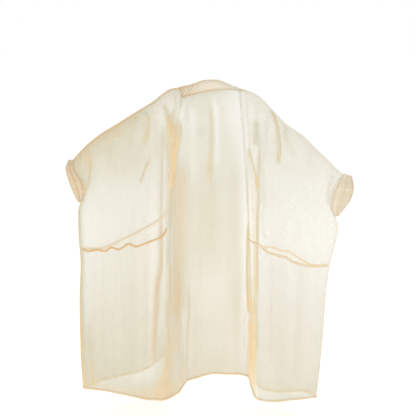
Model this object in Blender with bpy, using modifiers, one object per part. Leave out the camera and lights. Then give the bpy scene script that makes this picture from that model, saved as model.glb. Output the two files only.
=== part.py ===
"""A child's sheer open-front cloak, worn with the arms spread, in metres and +Z up.

The origin lies between the shoulders, where the neck band rests. The back of the cloak faces -Y,
the open front faces +Y, and the left cuff seen from behind is at -X. Every panel is a sheet of
drop lines: each line leaves the shoulder line, rounds over the arm or the shoulder and falls to
the hem. The named lines are rows of a table, and the columns between them are read smoothly.
"""

import math
from collections import namedtuple

import bmesh
import bpy
from mathutils import Vector

# Cloth and seams
CLOTH = 0.0012  # wall of one layer
BAND_CLOTH = 0.0018  # wall of the folded neck and front bands
CUFF_CLOTH = 0.0020  # wall of the cuff, which is folded double
SEAM_GAP = 0.0003  # clearance between pieces that are sewn together
CUFF_GAP = 0.0016  # clearance at the cuff, whose thicker wall leans on the sleeve
CUFF_MITRE = 1.75  # how much wider that clearance is at the top and the underside of the wrist
BAND_GAP = 0.0017  # clearance under the neck band, which crosses the corners of the neck
TUCK_GAP = 0.0006  # clearance under a tuck
FOLD_TUCK_GAP = 0.0017  # clearance under the tuck that climbs the steep right fold
LAP = 0.003  # how far a band lies over the edge of its panel
HEM_ROLL = 0.0024  # radius of the rolled hem
TUCK_ROLL = 0.0030  # radius of the rolled tuck
FRONT_BAND_WIDTH = 0.020  # what shows of the band past the front edge
FRONT_BAND_FOOT = 0.990  # share of the front edge at which its band ends, above the hem
BAND_BULGE = 0.0015  # how far the middle of a band stands out

# Shares of a drop line's length, from the shoulder line at 0 to the hem at 1
ROUND_SHARE = 0.15  # the turn over the arm ends here
OPENING_SHARE = 0.30  # the sleeve opening ends here, on the side lines
ROUND_ROWS = 5
SLEEVE_ROWS = 5
SKIRT_ROWS = 11

# Shares of a drop line's height at which the tables give its depth
CHEST = 0.20
TUCK = 0.42
KNEE = 0.70

# Where the cloth leaves the shoulder line: its place, the height of its turn, and how far the
# turn has already leaned over, in degrees
Top = namedtuple("Top", "x y z turn lean")
TOP_LINE = [
    Top(-0.436, -0.080, -0.225, 0.030, 0),
    Top(-0.399, -0.070, -0.184, 0.036, 0),
    Top(-0.355, -0.055, -0.147, 0.040, 0),
    Top(-0.294, -0.040, -0.109, 0.045, 0),
    Top(-0.234, -0.020, -0.072, 0.050, 0),
    Top(-0.172, -0.005, -0.034, 0.055, 5),
    Top(-0.150, 0.000, -0.016, 0.060, 8),
    Top(-0.117, 0.000, 0.003, 0.065, 12),
    Top(-0.098, 0.000, 0.005, 0.070, 18),
    Top(-0.084, -0.033, -0.021, 0.066, 37),
    Top(-0.051, -0.050, -0.013, 0.080, 50),
    Top(-0.010, -0.060, -0.002, 0.090, 50),
    Top(0.030, -0.062, 0.003, 0.090, 50),
    Top(0.077, -0.055, 0.004, 0.090, 48),
    Top(0.108, -0.030, -0.001, 0.080, 35),
    Top(0.122, 0.000, -0.003, 0.070, 18),
    Top(0.153, 0.000, -0.014, 0.065, 8),
    Top(0.179, 0.000, -0.034, 0.060, 5),
    Top(0.215, -0.010, -0.072, 0.054, 0),
    Top(0.253, -0.030, -0.110, 0.050, 0),
    Top(0.307, -0.050, -0.147, 0.045, 0),
    Top(0.344, -0.070, -0.184, 0.042, 0),
    Top(0.385, -0.085, -0.222, 0.038, 0),
    Top(0.416, -0.095, -0.253, 0.034, 0),
    Top(0.436, -0.100, -0.268, 0.030, 0),
]
LEFT_NECK_X = -0.098  # the neck band crosses the shoulder line here
RIGHT_NECK_X = 0.122

# A drop line: where it is across the cloak at four heights, how deep it hangs at five, and the
# height of the hem there. These three tables are in millimetres.
Drop = namedtuple(
    "Drop",
    "name top_x chest_x tuck_x hem_x round_y chest_y tuck_y knee_y hem_y hem_z",
)
MILLIMETRE = 0.001


def in_metres(rows):
    return [Drop(row.name, *(MILLIMETRE * number for number in row[1:])) for row in rows]


BACK = in_metres([
    Drop("left side seam", -436, -412, -412, -407, -105, -88, -94, -106, -120, -966),
    Drop("left wing outer", -360, -345, -340, -333, -98, -104, -122, -142, -160, -963),
    Drop("left wing middle", -270, -258, -252, -245, -84, -104, -138, -175, -208, -966),
    Drop("left wing inner", -190, -183, -182, -180, -66, -106, -148, -196, -238, -969),
    Drop("left fold crest", -150, -132, -135, -138, -66, -119, -160, -202, -240, -966),
    Drop("left fold turn", -120, -108, -116, -99, -72, -112, -138, -160, -190, -963),
    Drop("left fold foot", -98, -88, -96, -70, -76, -106, -108, -92, -80, -954),
    Drop("left of the back", -60, -52, -55, -40, -92, -110, -106, -88, -72, -946),
    Drop("middle of the back", 18, 20, 22, 23, -98, -112, -108, -86, -65, -933),
    Drop("right of the back", 85, 88, 92, 96, -92, -109, -106, -86, -66, -935),
    Drop("right fold foot", 122, 124, 130, 135, -78, -105, -108, -94, -80, -940),
    Drop("right fold turn", 137, 139, 142, 143, -74, -112, -136, -152, -168, -957),
    Drop("right fold crest", 158, 157, 157, 158, -70, -120, -158, -202, -240, -967),
    Drop("right wing inner", 200, 200, 198, 196, -66, -112, -150, -204, -250, -971),
    Drop("right wing middle", 270, 266, 262, 258, -84, -108, -142, -186, -222, -975),
    Drop("right wing outer", 360, 344, 334, 308, -122, -120, -130, -150, -178, -984),
    Drop("right side seam", 436, 412, 397, 351, -130, -112, -114, -126, -140, -990),
])
LEFT_FRONT = in_metres([
    Drop("left side seam", -436, -412, -412, -407, -56, -76, -88, -104, -120, -966),
    Drop("left front outer", -360, -345, -345, -343, -16, -26, -34, -38, -40, -962),
    Drop("left front middle", -270, -262, -262, -262, 12, 18, 20, 34, 48, -967),
    Drop("left front inner", -190, -195, -200, -208, 42, 54, 62, 82, 106, -965),
    Drop("left front fold", -150, -165, -173, -182, 54, 80, 92, 120, 146, -955),
    Drop("left front turn", -120, -146, -156, -160, 58, 88, 100, 128, 170, -942),
    Drop("left front edge", -98, -128, -138, -145, 60, 100, 118, 152, 200, -931),
])
RIGHT_FRONT = in_metres([
    Drop("right front edge", 122, 138, 149, 161, 60, 92, 62, 12, -28, -976),
    Drop("right front turn", 137, 154, 163, 179, 58, 86, 56, 10, -22, -996),
    Drop("right front fold", 158, 172, 181, 200, 50, 78, 50, 8, -20, -1006),
    Drop("right front inner", 200, 206, 212, 230, 34, 56, 34, -2, -28, -1008),
    Drop("right front middle", 270, 262, 262, 270, 0, 14, 0, -28, -52, -999),
    Drop("right front outer", 360, 345, 338, 318, -44, -50, -60, -82, -100, -984),
    Drop("right side seam", 436, 412, 397, 351, -72, -98, -106, -124, -140, -990),
])
BACK_STEPS = [5, 5, 4, 3, 3, 2, 3, 4, 4, 3, 2, 2, 3, 4, 5, 5]
LEFT_FRONT_STEPS = BACK_STEPS[:6]
RIGHT_FRONT_STEPS = BACK_STEPS[10:]

# The sleeve opening and its cuff, from the top of the wrist at 0 degrees to its underside at 180
Cuff = namedtuple("Cuff", "angle inner_x inner_z outer_x outer_z")
LEFT_CUFF = [
    Cuff(0, -0.436, -0.225, -0.450, -0.226),
    Cuff(45, -0.431, -0.252, -0.455, -0.247),
    Cuff(90, -0.409, -0.286, -0.444, -0.287),
    Cuff(135, -0.401, -0.322, -0.431, -0.328),
    Cuff(180, -0.410, -0.354, -0.420, -0.357),
]
RIGHT_CUFF = [
    Cuff(0, 0.436, -0.268, 0.461, -0.274),
    Cuff(45, 0.419, -0.292, 0.464, -0.302),
    Cuff(90, 0.404, -0.327, 0.458, -0.333),
    Cuff(135, 0.397, -0.368, 0.441, -0.366),
    Cuff(180, 0.409, -0.400, 0.421, -0.398),
]
CUFF_HALF_DEPTH = 0.032
CUFF_STEPS_HALF = ROUND_ROWS + SLEEVE_ROWS  # level with the rows of the sleeve
CUFF_ROWS = 4
CUFF_BULGE = 0.003

# The side seams, from the underside of the cuff to the hem
Seam = namedtuple("Seam", "z x y")
LEFT_SEAM = [
    Seam(-0.354, -0.410, -0.080),
    Seam(-0.395, -0.419, -0.083),
    Seam(-0.481, -0.417, -0.088),
    Seam(-0.553, -0.412, -0.091),
    Seam(-0.677, -0.416, -0.100),
    Seam(-0.840, -0.414, -0.112),
    Seam(-0.966, -0.407, -0.120),
]
RIGHT_SEAM = [
    Seam(-0.400, 0.409, -0.104),
    Seam(-0.440, 0.419, -0.107),
    Seam(-0.491, 0.409, -0.110),
    Seam(-0.536, 0.397, -0.110),
    Seam(-0.595, 0.387, -0.112),
    Seam(-0.686, 0.378, -0.118),
    Seam(-0.819, 0.369, -0.130),
    Seam(-0.990, 0.351, -0.140),
]

# Folds on a panel, from their upper to their lower end: how far they stand out of the cloth, and
# the share of their length over which each end fades
Fold = namedtuple("Fold", "name top_x top_z bottom_x bottom_z half_width depth fade")
BACK_FOLDS = [
    Fold("left shoulder branch", -0.145, -0.035, -0.124, -0.170, 0.012, 0.010, 0.3),
    Fold("left blade fold", -0.088, -0.080, -0.116, -0.340, 0.013, 0.011, 0.3),
    Fold("left hem cone", -0.126, -0.640, -0.150, -1.080, 0.016, 0.012, 0.3),
    Fold("middle back trough", 0.006, -0.040, -0.010, -0.700, 0.028, -0.010, 0.4),
    Fold("right armhole", 0.203, -0.050, 0.232, -0.240, 0.013, 0.012, 0.3),
    Fold("right blade fold", 0.148, -0.090, 0.160, -0.290, 0.013, 0.010, 0.4),
    Fold("right sleeve sag", 0.290, -0.200, 0.330, -0.420, 0.030, -0.010, 0.4),
    Fold("left sleeve sag", -0.330, -0.190, -0.350, -0.420, 0.030, -0.010, 0.4),
]
LEFT_FRONT_FOLDS = [
    Fold("left front band fold", -0.158, -0.200, -0.184, -0.940, 0.014, 0.010, 0.3),
]
RIGHT_FRONT_FOLDS = [
    Fold("right front band fold", 0.176, -0.180, 0.206, -1.100, 0.016, 0.010, 0.3),
]

# The neck band's upper edge: its place, level with a place on the shoulder line
Neck = namedtuple("Neck", "top_x x y z")
NECK_EDGE = [
    Neck(-0.098, -0.080, 0.000, 0.012),
    Neck(-0.084, -0.062, -0.024, 0.015),
    Neck(-0.051, -0.040, -0.042, 0.023),
    Neck(-0.010, -0.010, -0.049, 0.033),
    Neck(0.030, 0.024, -0.049, 0.034),
    Neck(0.077, 0.062, -0.038, 0.021),
    Neck(0.108, 0.088, -0.018, 0.010),
    Neck(0.122, 0.101, 0.000, 0.006),
]
NECK_ROWS = 3

# The tucks that run from the side seams to the big folds
Tuck = namedtuple("Tuck", "x z")
LEFT_BACK_TUCK = [
    Tuck(-0.408, -0.509),
    Tuck(-0.385, -0.516),
    Tuck(-0.357, -0.508),
    Tuck(-0.330, -0.511),
    Tuck(-0.310, -0.499),
    Tuck(-0.285, -0.503),
    Tuck(-0.251, -0.485),
    Tuck(-0.233, -0.492),
    Tuck(-0.180, -0.474),
    Tuck(-0.141, -0.455),
]
LEFT_FRONT_TUCK = [
    Tuck(-0.408, -0.510),
    Tuck(-0.353, -0.517),
    Tuck(-0.288, -0.497),
    Tuck(-0.231, -0.471),
    Tuck(-0.173, -0.445),
    Tuck(-0.148, -0.422),
]
RIGHT_BACK_TUCK = [
    Tuck(0.133, -0.476),
    Tuck(0.159, -0.484),
    Tuck(0.200, -0.500),
    Tuck(0.218, -0.499),
    Tuck(0.252, -0.509),
    Tuck(0.272, -0.519),
    Tuck(0.300, -0.540),
    Tuck(0.326, -0.551),
    Tuck(0.388, -0.559),
]
RIGHT_FRONT_TUCK = [
    Tuck(0.168, -0.515),
    Tuck(0.204, -0.545),
    Tuck(0.259, -0.556),
    Tuck(0.322, -0.569),
    Tuck(0.388, -0.562),
]

# Which way a panel faces
BACKWARD = -1
FORWARD = 1

# How finely a direction and a crossing are worked out
STEP_X = 0.002
STEP_SHARE = 0.004
HALVINGS = 30


def smooth_step(share):
    share = min(max(share, 0.0), 1.0)
    return share * share * (3.0 - 2.0 * share)


def slopes(places, heights):
    """Slopes of a smooth curve through the points that never overshoots them."""
    secants = []
    for i in range(len(places) - 1):
        secants.append((heights[i + 1] - heights[i]) / (places[i + 1] - places[i]))
    found = [secants[0]]
    for before, after in zip(secants, secants[1:]):
        if before * after <= 0.0:
            found.append(0.0)
        else:
            found.append(2.0 * before * after / (before + after))
    found.append(secants[-1])
    return found


def read(places, heights, place):
    """The height of the smooth curve at a place, with the ends carried straight on."""
    slope = slopes(places, heights)
    if place <= places[0]:
        return heights[0] + slope[0] * (place - places[0])
    if place >= places[-1]:
        return heights[-1] + slope[-1] * (place - places[-1])
    i = 0
    while place > places[i + 1]:
        i += 1
    span = places[i + 1] - places[i]
    t = (place - places[i]) / span
    rise = heights[i + 1] - heights[i]
    bend = slope[i] * span * t * (1.0 - t) ** 2 - slope[i + 1] * span * t * t * (1.0 - t)
    return heights[i] + rise * smooth_step(t) + bend


def read_row(table, key, place):
    """A row of a table at a place between its rows, each number read smoothly."""
    ordered = sorted(table, key=lambda row: getattr(row, key))
    places = [getattr(row, key) for row in ordered]
    values = []
    for field in table[0]._fields:
        column = [getattr(row, field) for row in ordered]
        values.append(column[0] if isinstance(column[0], str) else read(places, column, place))
    return type(table[0])(*values)


def share_out(stations, steps):
    """Places between stations, each span cut into its own number of equal steps."""
    places = [stations[0]]
    for start, end, count in zip(stations, stations[1:], steps):
        for i in range(1, count + 1):
            places.append(start + (end - start) * i / count)
    return places


def row_shares():
    """The shares of a drop line at which the sheet has a row."""
    stations = [0.0, ROUND_SHARE, OPENING_SHARE, 1.0]
    return share_out(stations, [ROUND_ROWS, SLEEVE_ROWS, SKIRT_ROWS])


def fold_height(folds, x, z):
    total = 0.0
    for fold in folds:
        along = (fold.top_z - z) / (fold.top_z - fold.bottom_z)
        if along <= 0.0 or along >= 1.0:
            continue
        middle = fold.top_x + (fold.bottom_x - fold.top_x) * along
        fade = smooth_step(along / fold.fade) * smooth_step((1.0 - along) / fold.fade)
        total += fold.depth * fade * math.exp(-(((x - middle) / fold.half_width) ** 2))
    return total


def hang(line, facing, folds, share):
    """A point of a drop line that falls free from the shoulder line."""
    top = read_row(TOP_LINE, "x", line.top_x)
    turn = top.turn / (top.z - line.hem_z)
    if share <= ROUND_SHARE:
        lean = math.radians(top.lean)
        angle = lean + (math.pi / 2.0 - lean) * share / ROUND_SHARE
        fall = turn * (math.cos(lean) - math.cos(angle)) / math.cos(lean)
        out = (math.sin(angle) - math.sin(lean)) / (1.0 - math.sin(lean))
        y = top.y + (line.round_y - top.y) * out
    else:
        fall = turn + (1.0 - turn) * (share - ROUND_SHARE) / (1.0 - ROUND_SHARE)
        heights = [line.round_y, line.chest_y, line.tuck_y, line.knee_y, line.hem_y]
        y = read([turn, CHEST, TUCK, KNEE, 1.0], heights, fall)
    x = read([0.0, CHEST, TUCK, 1.0], [line.top_x, line.chest_x, line.tuck_x, line.hem_x], fall)
    z = top.z + (line.hem_z - top.z) * fall
    rise = fold_height(folds, x, z) * smooth_step(share / ROUND_SHARE)
    return Vector((x, y + facing * rise, z))


def side(cuff, seam, facing, share):
    """A point of a side line: round the sleeve opening, then down the side seam."""
    if share <= OPENING_SHARE:
        angle = 180.0 * share / OPENING_SHARE
        row = read_row(cuff, "angle", angle)
        depth = CUFF_HALF_DEPTH * math.sin(math.radians(angle))
        return Vector((row.inner_x, cuff_middle(cuff, seam, angle) + facing * depth, row.inner_z))
    down = (share - OPENING_SHARE) / (1.0 - OPENING_SHARE)
    z = seam[0].z + (seam[-1].z - seam[0].z) * down
    row = read_row(seam, "z", z)
    return Vector((row.x, row.y, z))


def cuff_middle(cuff, seam, angle):
    """The depth halfway between the back and the front of the sleeve opening."""
    top = read_row(TOP_LINE, "x", cuff[0].inner_x)
    return top.y + (seam[0].y - top.y) * angle / 180.0


Panel = namedtuple("Panel", "lines steps facing folds ends")


def column_places(panel):
    return share_out([line.top_x for line in panel.lines], panel.steps)


def panel_point(panel, top_x, share):
    """A point on a panel's inner face."""
    line = read_row(panel.lines, "top_x", top_x)
    point = hang(line, panel.facing, panel.folds, share)
    for end_line, next_line, cuff, seam in panel.ends:
        away = (top_x - end_line.top_x) / (next_line.top_x - end_line.top_x)
        pull = 1.0 - smooth_step(away)
        if pull > 0.0:
            shift = side(cuff, seam, panel.facing, share)
            shift -= hang(end_line, panel.facing, panel.folds, share)
            point += pull * shift
    point.y += panel.facing * SEAM_GAP / 2.0
    return point


def outward(panel, top_x, share):
    """The direction out of the hollow at a point of a panel."""
    low_x = max(top_x - STEP_X, panel.lines[0].top_x)
    high_x = min(top_x + STEP_X, panel.lines[-1].top_x)
    low = max(share - STEP_SHARE, 0.0)
    high = min(share + STEP_SHARE, 1.0)
    across = panel_point(panel, high_x, share) - panel_point(panel, low_x, share)
    down = panel_point(panel, top_x, high) - panel_point(panel, top_x, low)
    normal = across.cross(down).normalized()
    return normal if normal.y * panel.facing > 0.0 else -normal


def height_share(panel, top_x, table):
    """The share of a drop line at which it crosses a tuck."""
    low, high = 0.0, 1.0
    for _ in range(HALVINGS):
        middle = (low + high) / 2.0
        point = panel_point(panel, top_x, middle)
        if point.z > read_row(table, "x", point.x).z:
            low = middle
        else:
            high = middle
    return middle


def cloth_material(name, colour, roughness):
    material = bpy.data.materials.new(name)
    material.use_nodes = True
    shader = material.node_tree.nodes["Principled BSDF"]
    shader.inputs["Base Color"].default_value = (*colour, 1.0)
    shader.inputs["Roughness"].default_value = roughness
    shader.inputs["Metallic"].default_value = 0.0
    return material


def add_object(name, data, material, collection):
    data.materials.append(material)
    obj = bpy.data.objects.new(name, data)
    collection.objects.link(obj)
    return obj


def add_sheet(name, columns, rows, point_at, thickness, material, collection, closed=False):
    """A wall of cloth on a grid of columns and rows, thickened away from the hollow.

    point_at takes a column and a row. Columns run clockwise seen from outside, top edge up.
    """
    sheet = bmesh.new()
    grid = []
    for row in range(rows + 1):
        count = columns if closed else columns + 1
        grid.append([sheet.verts.new(point_at(column, row)) for column in range(count)])
    for upper, lower in zip(grid, grid[1:]):
        for column in range(columns):
            after = (column + 1) % len(upper)
            sheet.faces.new((upper[column], lower[column], lower[after], upper[after]))
    mesh = bpy.data.meshes.new(name)
    sheet.to_mesh(mesh)
    sheet.free()
    mesh.shade_smooth()
    obj = add_object(name, mesh, material, collection)
    wall = obj.modifiers.new("Wall", "SOLIDIFY")
    wall.thickness = thickness
    wall.offset = 1.0
    wall.use_even_offset = True
    return obj


def add_roll(name, centres, radius, material, collection):
    """A rolled edge of cloth along its centre line."""
    curve = bpy.data.curves.new(name, "CURVE")
    curve.dimensions = "3D"
    curve.bevel_depth = radius
    curve.bevel_resolution = 2
    curve.use_fill_caps = True
    spline = curve.splines.new("POLY")
    spline.points.add(len(centres) - 1)
    for point, centre in zip(spline.points, centres):
        point.co = (*centre, 1.0)
    return add_object(name, curve, material, collection)


def add_panel(name, panel, material, collection):
    places = column_places(panel)
    if panel.facing == FORWARD:
        places.reverse()
    shares = row_shares()
    return add_sheet(
        name,
        len(places) - 1,
        len(shares) - 1,
        lambda column, row: panel_point(panel, places[column], shares[row]),
        CLOTH,
        material,
        collection,
    )


def add_hem(name, panel, material, collection):
    """The rolled hem, on the outer side of the panel's lower edge."""
    centres = []
    for top_x in column_places(panel):
        out = outward(panel, top_x, 1.0)
        edge = panel_point(panel, top_x, 1.0)
        centre = edge + HEM_ROLL * Vector((out.x, out.y, 0.0)).normalized()
        centres.append(centre - Vector((0.0, 0.0, HEM_ROLL + 2.0 * SEAM_GAP)))
    return add_roll(name, centres, HEM_ROLL, material, collection)


def add_tuck(name, panel, table, gap, material, collection):
    """A rolled tuck lying on the outer side of a panel."""
    lift = CLOTH + gap + TUCK_ROLL
    centres = []
    for top_x in column_places(panel):
        share = height_share(panel, top_x, table)
        point = panel_point(panel, top_x, share)
        if table[0].x <= point.x <= table[-1].x:
            centres.append(point + lift * outward(panel, top_x, share))
    return add_roll(name, centres, TUCK_ROLL, material, collection)


def add_cuff(name, cuff, seam, material, collection):
    """The folded cuff, a ring that carries on from the sleeve opening."""
    count = 2 * CUFF_STEPS_HALF
    mirrored = cuff[0].inner_x > 0.0

    def point_at(column, row):
        turn = 360.0 * column / count
        angle = min(turn, 360.0 - turn)
        around = math.radians(turn if mirrored else -turn)
        station = read_row(cuff, "angle", angle)
        inner = Vector((station.inner_x, 0.0, station.inner_z))
        outer = Vector((station.outer_x, 0.0, station.outer_z))
        mitre = 1.0 + CUFF_MITRE * abs(math.cos(around))
        inner += CUFF_GAP * mitre * (outer - inner).normalized()
        across = row / CUFF_ROWS
        point = inner.lerp(outer, across)
        bulge = CUFF_BULGE * math.sin(math.pi * across)
        point.y = cuff_middle(cuff, seam, angle) + (CUFF_HALF_DEPTH + bulge) * math.sin(around)
        point.z += bulge * math.cos(around)
        return point

    return add_sheet(
        name, count, CUFF_ROWS, point_at, CUFF_CLOTH, material, collection, closed=True
    )


def add_neck_band(name, panel, material, collection):
    """The band round the back of the neck, lapped over the top of the back panel."""
    places = [x for x in column_places(panel) if LEFT_NECK_X <= x <= RIGHT_NECK_X]
    lift = CLOTH + BAND_GAP

    def point_at(column, row):
        top_x = places[column]
        out = outward(panel, top_x, 0.0)
        seam = panel_point(panel, top_x, 0.0) + lift * out
        if row == NECK_ROWS + 1:
            down = panel_point(panel, top_x, ROUND_SHARE / ROUND_ROWS) - panel_point(panel, top_x, 0.0)
            return seam + LAP * down.normalized()
        edge_row = read_row(NECK_EDGE, "top_x", top_x)
        edge = Vector((edge_row.x, edge_row.y, edge_row.z))
        across = row / NECK_ROWS
        bulge = BAND_BULGE * math.sin(math.pi * across)
        return edge.lerp(seam, across) + bulge * out

    return add_sheet(
        name, len(places) - 1, NECK_ROWS + 1, point_at, BAND_CLOTH, material, collection
    )


def add_front_band(name, panel, edge_x, material, collection):
    """The band down a front edge, lapped over the edge of the front panel."""
    shares = [share * FRONT_BAND_FOOT for share in row_shares()]
    inner_side = 1.0 if edge_x < 0.0 else -1.0
    offsets = [-LAP, 0.0, FRONT_BAND_WIDTH / 2.0, FRONT_BAND_WIDTH]
    if edge_x < 0.0:
        offsets.reverse()
    lift = CLOTH + SEAM_GAP

    def point_at(column, row):
        edge = panel_point(panel, edge_x, shares[row])
        before = panel_point(panel, edge_x - inner_side * LAP, shares[row])
        along = (edge - before).normalized()
        return edge + offsets[column] * along + lift * outward(panel, edge_x, shares[row])

    return add_sheet(
        name, len(offsets) - 1, len(shares) - 1, point_at, BAND_CLOTH, material, collection
    )


def main():
    for obj in list(bpy.data.objects):
        bpy.data.objects.remove(obj, do_unlink=True)
    cloak = bpy.data.collections.new("Sheer cloak")
    bpy.context.scene.collection.children.link(cloak)

    gauze = cloth_material("Cream gauze", (0.87, 0.82, 0.70), 0.55)
    folded = cloth_material("Folded gauze", (0.82, 0.70, 0.50), 0.50)
    rolled = cloth_material("Rolled gauze", (0.76, 0.60, 0.38), 0.50)

    left_end = (BACK[0], BACK[1], LEFT_CUFF, LEFT_SEAM)
    right_end = (BACK[-1], BACK[-2], RIGHT_CUFF, RIGHT_SEAM)
    left_front_end = (LEFT_FRONT[0], LEFT_FRONT[1], LEFT_CUFF, LEFT_SEAM)
    right_front_end = (RIGHT_FRONT[-1], RIGHT_FRONT[-2], RIGHT_CUFF, RIGHT_SEAM)
    back = Panel(BACK, BACK_STEPS, BACKWARD, BACK_FOLDS, [left_end, right_end])
    left = Panel(LEFT_FRONT, LEFT_FRONT_STEPS, FORWARD, LEFT_FRONT_FOLDS, [left_front_end])
    right = Panel(RIGHT_FRONT, RIGHT_FRONT_STEPS, FORWARD, RIGHT_FRONT_FOLDS, [right_front_end])

    add_panel("back_panel", back, gauze, cloak)
    add_panel("left_front_panel", left, gauze, cloak)
    add_panel("right_front_panel", right, gauze, cloak)
    add_neck_band("neck_band", back, folded, cloak)
    add_front_band("left_front_band", left, LEFT_NECK_X, folded, cloak)
    add_front_band("right_front_band", right, RIGHT_NECK_X, folded, cloak)
    add_cuff("left_cuff", LEFT_CUFF, LEFT_SEAM, folded, cloak)
    add_cuff("right_cuff", RIGHT_CUFF, RIGHT_SEAM, folded, cloak)
    add_hem("back_hem", back, rolled, cloak)
    add_hem("left_front_hem", left, rolled, cloak)
    add_hem("right_front_hem", right, rolled, cloak)
    add_tuck("left_back_tuck", back, LEFT_BACK_TUCK, TUCK_GAP, rolled, cloak)
    add_tuck("right_back_tuck", back, RIGHT_BACK_TUCK, FOLD_TUCK_GAP, rolled, cloak)
    add_tuck("left_front_tuck", left, LEFT_FRONT_TUCK, TUCK_GAP, rolled, cloak)
    add_tuck("right_front_tuck", right, RIGHT_FRONT_TUCK, TUCK_GAP, rolled, cloak)


main()
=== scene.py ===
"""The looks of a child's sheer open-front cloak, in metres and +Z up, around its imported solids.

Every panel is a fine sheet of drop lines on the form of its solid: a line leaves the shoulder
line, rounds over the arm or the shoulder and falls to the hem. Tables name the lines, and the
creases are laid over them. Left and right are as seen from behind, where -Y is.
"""

import math
from collections import namedtuple
from types import SimpleNamespace

import bmesh
import bpy
import numpy as np
from mathutils import Matrix, Vector


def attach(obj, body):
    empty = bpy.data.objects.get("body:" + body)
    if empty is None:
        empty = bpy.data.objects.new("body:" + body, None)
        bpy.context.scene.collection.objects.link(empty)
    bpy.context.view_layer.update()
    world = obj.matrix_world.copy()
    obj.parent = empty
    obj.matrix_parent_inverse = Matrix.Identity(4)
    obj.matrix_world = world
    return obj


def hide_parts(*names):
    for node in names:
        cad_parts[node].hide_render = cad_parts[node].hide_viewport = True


BODY = "root"
FULL_TURN = 2.0 * math.pi
TINY = 1e-9  # keeps a length that is divided by above 0

# Cloth and seams
GAUZE = 0.0004  # wall of one layer of gauze
BAND_GAUZE = 0.0005  # wall of each layer of a folded band
WALL_PLACE = 0.0006  # where the gauze lies within the wall of its solid
SEAM_GAP = 0.0003
LAP = 0.003  # how far a band lies over the edge of its panel
BAND_LIFT = 0.0010  # how far a band lies off the gauze under it
FOLD_RADIUS = 0.0008  # the turn of a band over its free edge
NECK_BAND_WIDTH = 0.033
FRONT_BAND_WIDTH = 0.020
FRONT_BAND_FOOT = 0.994  # share of the front edge at which its band ends, above the hem
CUFF_WIDTH = 0.044
TURN_IN = 0.009  # how wide the turned-in layer of a band is
HEM_HALF_HEIGHT = 0.0027
FRONT_HEM_HALF_HEIGHT = 0.0038
HEM_HALF_DEPTH = 0.0022
HEM_SEAT = 0.4  # how far out a hem's middle lies, as a share of its half depth
HEM_RISE = 0.3  # how far above the edge it lies, as a share of its half height
TUCK_HALF_HEIGHT = 0.0032
FINE_TUCK_HALF_HEIGHT = 0.0026
FRONT_TUCK_HALF_HEIGHT = 0.0040
TUCK_HALF_DEPTH = 0.0022
BACK_SEAT = 0.35  # how far out a tuck's middle lies, as a share of its half depth
FRONT_SEAT = -0.20  # the front tucks are seen from inside the cloak
RIDGE_HALF_DEPTH = 0.0010  # the seam along the shoulders and arms
RIDGE_SEAT = 0.6  # how far out its middle lies, as a share of its half depth
LEFT_RIDGE_DROP = 0.0036  # how far it lies below the shoulder line
RIGHT_RIDGE_DROP = 0.0050
LEFT_RIDGE_HALF_HEIGHT = 0.0034
RIGHT_RIDGE_HALF_HEIGHT = 0.0014
SIDE_HALF_HEIGHT = 0.0014  # the seam down each side
SIDE_HALF_DEPTH = 0.0010

# Shares of a drop line's length, from the shoulder line at 0 to the hem at 1
ROUND_SHARE = 0.15  # the turn over the arm ends here
OPENING_SHARE = 0.30  # the sleeve opening ends here, on the side lines
ROUND_ROWS = 22
SLEEVE_ROWS = 20
SKIRT_ROWS = 98

# Shares of a drop line's height at which the tables give its depth
CHEST = 0.20
TUCK = 0.42
KNEE = 0.70

# The tables are in millimetres and degrees, and these columns of them aren't lengths
PLAIN_FIELDS = {"name", "lean", "angle", "fade", "skew", "gold"}
MILLIMETRE = 0.001
DROP_FIELDS = "name top_x chest_x tuck_x hem_x round_y chest_y tuck_y knee_y hem_y hem_z"
CUFF_FIELDS = "angle inner_x inner_z outer_x outer_z"
FOLD_FIELDS = "name top_x top_z bottom_x bottom_z half_width depth fade"
CREASE_FIELDS = "name half_width height gold skew path"


def in_metres(fields, rows):
    """The rows of a table by the names of their columns, with the lengths in metres."""
    kind = namedtuple("Row", fields)
    return [
        kind(*(value if field in PLAIN_FIELDS else MILLIMETRE * np.array(value)
               for field, value in zip(kind._fields, row)))
        for row in rows
    ]


# Where the cloth leaves the shoulder line: its place, the height of its turn, and how far the
# turn has already leaned over
TOP_LINE = in_metres("x y z turn lean", [
    (-436, -80, -225, 30, 0), (-399, -70, -184, 36, 0), (-355, -55, -147, 40, 0),
    (-294, -40, -109, 45, 0), (-234, -20, -72, 50, 0), (-172, -5, -34, 55, 5), (-150, 0, -16, 60, 8),
    (-117, 0, 3, 65, 12), (-98, 0, 5, 70, 18), (-84, -33, -21, 66, 37), (-51, -50, -13, 80, 50),
    (-10, -60, -2, 90, 50), (30, -62, 3, 90, 50), (77, -55, 4, 90, 48), (108, -30, -1, 80, 35),
    (122, 0, -3, 70, 18), (153, 0, -14, 65, 8), (179, 0, -34, 60, 5), (215, -10, -72, 54, 0),
    (253, -30, -110, 50, 0), (307, -50, -147, 45, 0), (344, -70, -184, 42, 0), (385, -85, -222, 38, 0),
    (416, -95, -253, 34, 0), (436, -100, -268, 30, 0),
])
LEFT_NECK_X = -0.098  # the neck band crosses the shoulder line here
RIGHT_NECK_X = 0.122

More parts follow.
